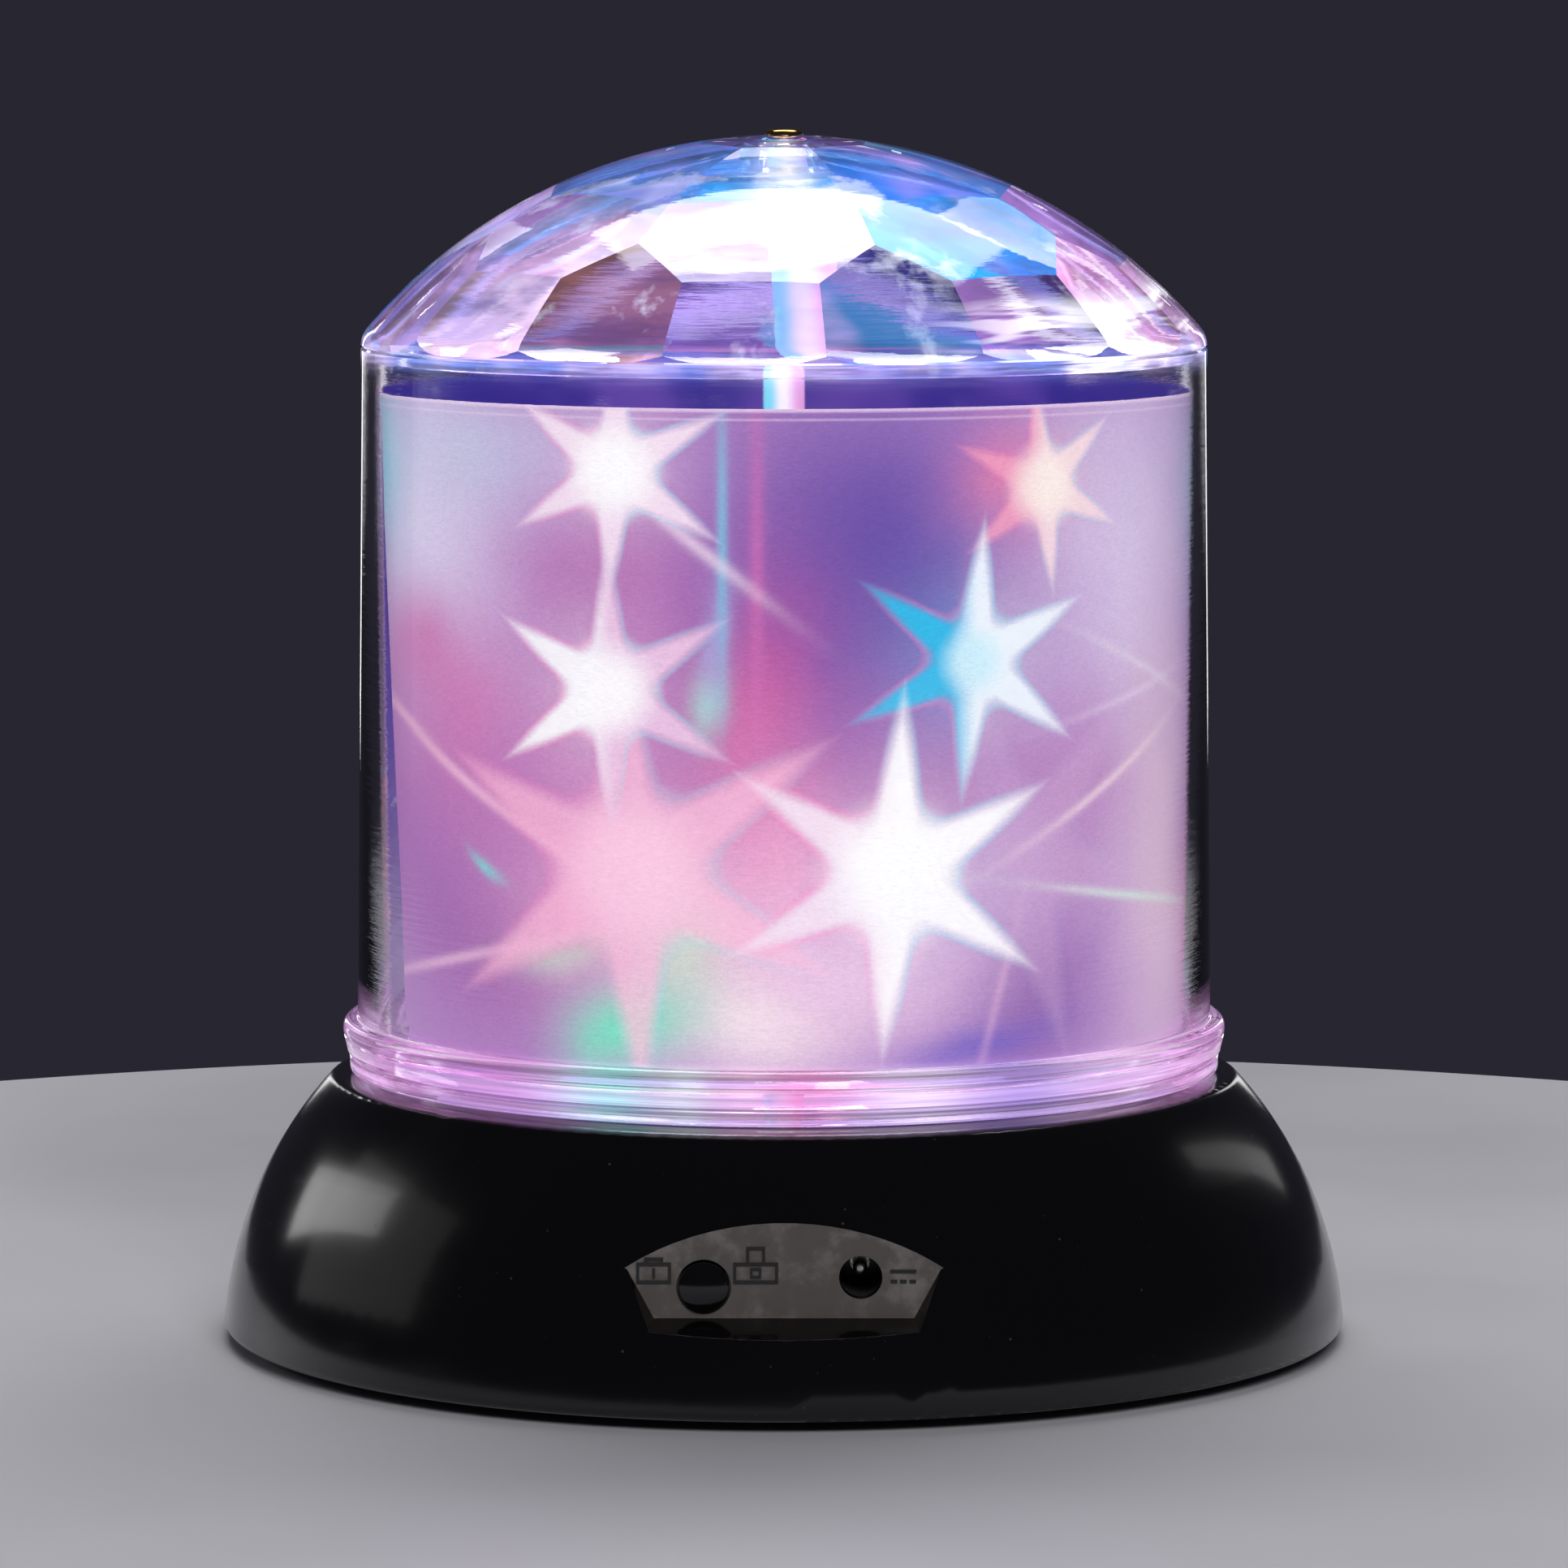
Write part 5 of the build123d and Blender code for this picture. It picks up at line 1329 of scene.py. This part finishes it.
    def build_film(self) -> None:
        """Models the rolled film: a sleeve cut open between its two upright ends."""
        low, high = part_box("hologram_film")
        foot, top = low[2], high[2]
        radius = self.tube_head_radius - self.tube_wall - self.film_gap
        deselect()
        bpy.ops.mesh.primitive_cylinder_add(
            vertices=360, radius=radius, depth=top - foot, end_fill_type="NOTHING",
            location=(0, 0, (foot + top) / 2),
        )
        film = bpy.context.object
        film.name = film.data.name = "film_sleeve"
        settle(film)
        bpy.ops.object.mode_set(mode="EDIT")
        edges = (
            (self.film_edge_foot, self.film_edge_top), (self.film_far_edge, self.film_far_edge)
        )
        for foot_angle, top_angle in edges:
            at_foot = front_place(radius, foot_angle, foot)
            at_top = front_place(radius, top_angle, top)
            outward = front_place(1.0, (foot_angle + top_angle) / 2, 0.0)
            bpy.ops.mesh.select_all(action="SELECT")
            bpy.ops.mesh.bisect(
                plane_co=(at_foot + at_top) / 2, plane_no=(at_top - at_foot).cross(outward)
            )
        for share in (0.03, 0.35, 0.65, 0.97):
            bpy.ops.mesh.select_all(action="SELECT")
            height = foot + (top - foot) * share
            bpy.ops.mesh.bisect(plane_co=(0, 0, height), plane_no=(0, 0, 1))
        bpy.ops.mesh.select_all(action="DESELECT")
        end_edit()
        for face in film.data.polygons:
            share = (face.center.z - foot) / (top - foot)
            near_edge = self.film_edge_foot + share * (self.film_edge_top - self.film_edge_foot)
            angle = math.degrees(math.atan2(face.center.x, -face.center.y))
            face.select = self.film_far_edge < angle < near_edge
        bpy.ops.object.mode_set(mode="EDIT")
        bpy.ops.mesh.delete(type="FACE")
        end_edit()
        self.wrap(film, foot, top)
        # Both sides of the film carry painted light as emission.
        film.data.materials.append(
            HologramFilm(
                "hologram_film_lit", (("Emission Strength", 1.0),), radius=radius, foot=foot,
                height=top - foot,
            ).material()
        )
        inside = FilmInside("film_inside", (("Emission Strength", 0.8),), foot, top - foot)
        film.data.materials.append(inside.material())
        apply_modifier(
            film, "SOLIDIFY", thickness=self.film_thickness, offset=-1.0, material_offset=1,
            use_rim=True,
        )
        smooth(film, 32)
        self.fit(film, "hologram_film")

    def wrap(self, film: bpy.types.Object, foot: float, top: float) -> None:
        """Lays the film's map: turns from the front along it, share of its height up it.

        Args:
            film: The film's sleeve.
            foot: Height of its lower edge.
            top: Height of its upper edge.
        """
        for old in list(film.data.uv_layers):
            film.data.uv_layers.remove(old)
        layer = film.data.uv_layers.new(name="wrap")
        for face in film.data.polygons:
            middle = math.degrees(math.atan2(face.center.x, -face.center.y)) % 360
            if middle > 360 + self.film_far_edge:
                middle -= 360
            for loop in face.loop_indices:
                spot = film.data.vertices[film.data.loops[loop].vertex_index].co
                angle = math.degrees(math.atan2(spot.x, -spot.y))
                while angle < middle - 180:
                    angle += 360
                while angle > middle + 180:
                    angle -= 360
                layer.data[loop].uv = (angle / 360, (spot.z - foot) / (top - foot))

    def facet_planes(self, centre: float, reach: float, edge_angle: float) -> list:
        """Lists the dome's inner facets.

        Args:
            centre: Height of the dome's centre of curvature.
            reach: Distance of each facet from it.
            edge_angle: Angle from the axis to the dome's edge, in radians.

        Returns:
            For each facet its row, its angle from the front, a point on it and its normal.
        """
        planes = []
        for row, (share, count) in enumerate(self.facet_rows):
            lean = edge_angle * share
            for index in range(count):
                angle = self.facet_front + 360 / count * index
                flat = front_place(math.sin(lean), angle, math.cos(lean))
                planes.append((row, angle % 360, Vector((0, 0, centre)) + flat * reach, flat))
        return planes

    def facet_light(self, row: int, angle: float) -> tuple[float, float, float, float]:
        """Gives the painted light that one facet carries, with its amount as the fourth number.

        Args:
            row: Row of the facet, from the top.
            angle: Its angle from the front, 0 to 360.

        Returns:
            The light's colour and amount.
        """
        front = (
            {
                354.5: (*tone(28, 138, 214), 0.85), 39.5: (*tone(30, 104, 196), 0.85),
                309.5: (*tone(70, 116, 190), 0.8), 84.5: (*tone(76, 96, 176), 0.65),
                264.5: (*tone(96, 116, 190), 0.6),
            },
            {
                354.5: (*tone(228, 220, 238), 0.85), 39.5: (*tone(0, 136, 216), 0.95),
                309.5: (*tone(176, 142, 182), 0.75), 84.5: (*tone(136, 104, 170), 0.7),
                264.5: (*tone(170, 140, 200), 0.7),
            },
            {
                354.5: (*tone(112, 80, 160), 0.85), 17.0: (*tone(44, 44, 128), 0.9),
                39.5: (*tone(92, 58, 138), 0.85), 62.0: (*tone(208, 148, 194), 0.8),
                84.5: (*tone(200, 160, 205), 0.7), 332.0: (*tone(140, 92, 84), 0.85),
                309.5: (*tone(222, 188, 212), 0.8), 287.0: (*tone(190, 150, 200), 0.7),
            },
        )[row]
        for place, light in front.items():
            if abs(place - angle) < 1.0:
                return light
        back = (tone(86, 120, 205), tone(186, 140, 205), tone(70, 175, 225), tone(110, 76, 170))
        return (*back[int(angle + 60 * row) // 45 % 4], 0.6)

    def build_hollow(self, planes: list, bore: float, foot: float, top: float) -> bpy.types.Object:
        """Cuts the faceted hollow out of a drum shape, plane by plane.

        Args:
            planes: The facets.
            bore: Radius of the skirt's bore.
            foot: Height of the skirt's foot.
            top: Height of the hollow's crown.

        Returns:
            The hollow's surface, open at its foot.
        """
        deselect()
        bpy.ops.mesh.primitive_cylinder_add(
            vertices=self.segments, radius=bore, depth=top - foot, end_fill_type="NGON",
            location=(0, 0, (foot + top) / 2),
        )
        hollow = bpy.context.object
        settle(hollow)
        bpy.ops.object.mode_set(mode="EDIT")
        for _, _, point, normal in planes:
            bpy.ops.mesh.select_all(action="SELECT")
            bpy.ops.mesh.bisect(
                plane_co=point, plane_no=normal, use_fill=True, clear_outer=True, threshold=1e-6
            )
        bpy.ops.mesh.select_all(action="DESELECT")
        end_edit()
        for face in hollow.data.polygons:
            face.select = face.center.z < foot + 1e-5
        bpy.ops.object.mode_set(mode="EDIT")
        bpy.ops.mesh.delete(type="ONLY_FACE")
        end_edit()
        return hollow

    def build_dome(self) -> None:
        """Models the thick dome: smooth outside, faceted inside, with a plug skirt."""
        low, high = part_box("dome_lens")
        foot, apex = low[2], high[2]
        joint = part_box("drum_tube")[1][2]
        head = self.tube_head_radius
        sagitta = apex - joint - self.edge_height
        curve = (head ** 2 + sagitta ** 2) / (2 * sagitta)
        centre = apex - curve
        edge_angle = math.asin(head / curve)
        skirt = head - self.tube_wall - self.plug_gap
        bore = skirt - self.skirt_wall
        profile = [(bore, foot), (skirt - 0.0002, foot), (skirt, foot + 0.0002), (skirt, joint)]
        profile += [(head - 0.0003, joint), (head, joint + 0.0003)]
        corner = (head, joint + self.edge_height)
        ahead = (curve * math.sin(edge_angle * 0.97), centre + curve * math.cos(edge_angle * 0.97))
        shoulder = rounded(corner, (head, joint), ahead, self.shoulder_round, 8)
        profile += [p for p in shoulder if p[1] > joint + 0.0003]
        start = math.asin(shoulder[-1][0] / curve)
        end = math.asin(self.spot_face_radius / curve)
        steps = 44
        for step in range(1, steps + 1):
            lean = start + (end - start) * step / steps
            profile.append((curve * math.sin(lean), centre + curve * math.cos(lean)))
        sink = profile[-1][1] - self.spot_face_depth
        profile += [(self.spot_face_radius, sink), (0.0, sink)]
        dome = turn_profile("faceted_dome", profile, self.segments, False)
        reach = curve - self.lens_thickness
        planes = self.facet_planes(centre, reach, edge_angle)
        hollow = self.build_hollow(planes, bore, foot, apex - self.lens_thickness)
        self.light_facets(dome, hollow, planes)
        choose(dome)
        hollow.select_set(True)
        bpy.ops.object.join()
        edit_whole()
        bpy.ops.mesh.remove_doubles(threshold=1e-6)
        bpy.ops.mesh.normals_make_consistent(inside=False)
        end_edit()
        smooth(dome, 8)
        self.fit(dome, "dome_lens")
        self.build_boss(apex)

    def light_facets(self, dome: bpy.types.Object, hollow: bpy.types.Object, planes: list) -> None:
        """Gives the two halves their finishes and the facets their painted light.

        Args:
            dome: The outer surface.
            hollow: The faceted surface.
            planes: The facets.
        """
        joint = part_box("drum_tube")[1][2]
        # The outer face carries the painted glowing belt at the joint.
        outer = self.clear("dome_clear", tint=tone(244, 242, 255), rim_height=joint).material()
        numbers = (("Transmission Weight", 1.0), ("IOR", 1.49), ("Emission Strength", 1.0))
        facet = LensFacet("dome_facet", numbers).material()
        for piece in (dome, hollow):
            piece.data.materials.append(outer)
            piece.data.materials.append(facet)
            piece.data.color_attributes.new("facet_light", "FLOAT_COLOR", "CORNER")
        layer = hollow.data.color_attributes["facet_light"].data
        for face in hollow.data.polygons:
            face.material_index = 1
            # Painted light for each facet; the faces of the bore get a dim blue.
            light = (0.2, 0.2, 0.45, 0.25)
            for row, angle, _, normal in planes:
                if abs(face.normal.dot(normal)) > 0.9995:
                    light = self.facet_light(row, angle)
            for loop in face.loop_indices:
                layer[loop].color = light

    def build_boss(self, apex: float) -> None:
        """Models the clear boss under the apex that sits on the spindle."""
        shaft_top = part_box("spindle")[1][2]
        foot = shaft_top - 0.002
        top = apex - self.lens_thickness + 0.0004
        profile = [(0.0023, foot + 0.0003), (0.0026, foot), (0.0052, foot), (0.0055, foot + 0.0003)]
        profile += [(0.0055, top - 0.0012), (0.0064, top), (0.0023, top)]
        boss = turn_profile("dome_boss", profile, 64, True)
        smooth(boss, 32)
        self.clear("boss_clear", tint=tone(246, 244, 255)).dress(boss)
        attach(boss, self.body)

    def build_spindle(self) -> None:
        """Dresses the spindle and the brassed screw at the top."""
        rod = polished_copy("spindle", "spindle_rod", 28)
        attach(rod, self.body)
        # The rod's colour and glow are painted light.
        LitSpindle("spindle_lit", (("Emission Strength", 0.75),)).dress(rod)
        screw = polished_copy("top_screw", "apex_screw", 24)
        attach(screw, self.body)
        Metal(
            "apex_brass", (("Metallic", 1.0),), tone(226, 178, 96), tone(120, 78, 40), 0.16
        ).dress(screw)

    def build(self) -> None:
        """Builds the drum from its foot up."""
        self.build_ring()
        self.build_tube()
        self.build_film()
        self.build_dome()
        self.build_spindle()


def main() -> None:
    """Builds the studio and each sub-assembly in order."""
    logging.basicConfig(level=logging.INFO, format="%(name)s: %(message)s")
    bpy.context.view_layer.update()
    for part in (Studio(), Base(), ControlPanel(), Works(), Drum()):
        LOG.info("building %s", type(part).__name__)
        part.build()


if __name__ == "__main__":
    main()
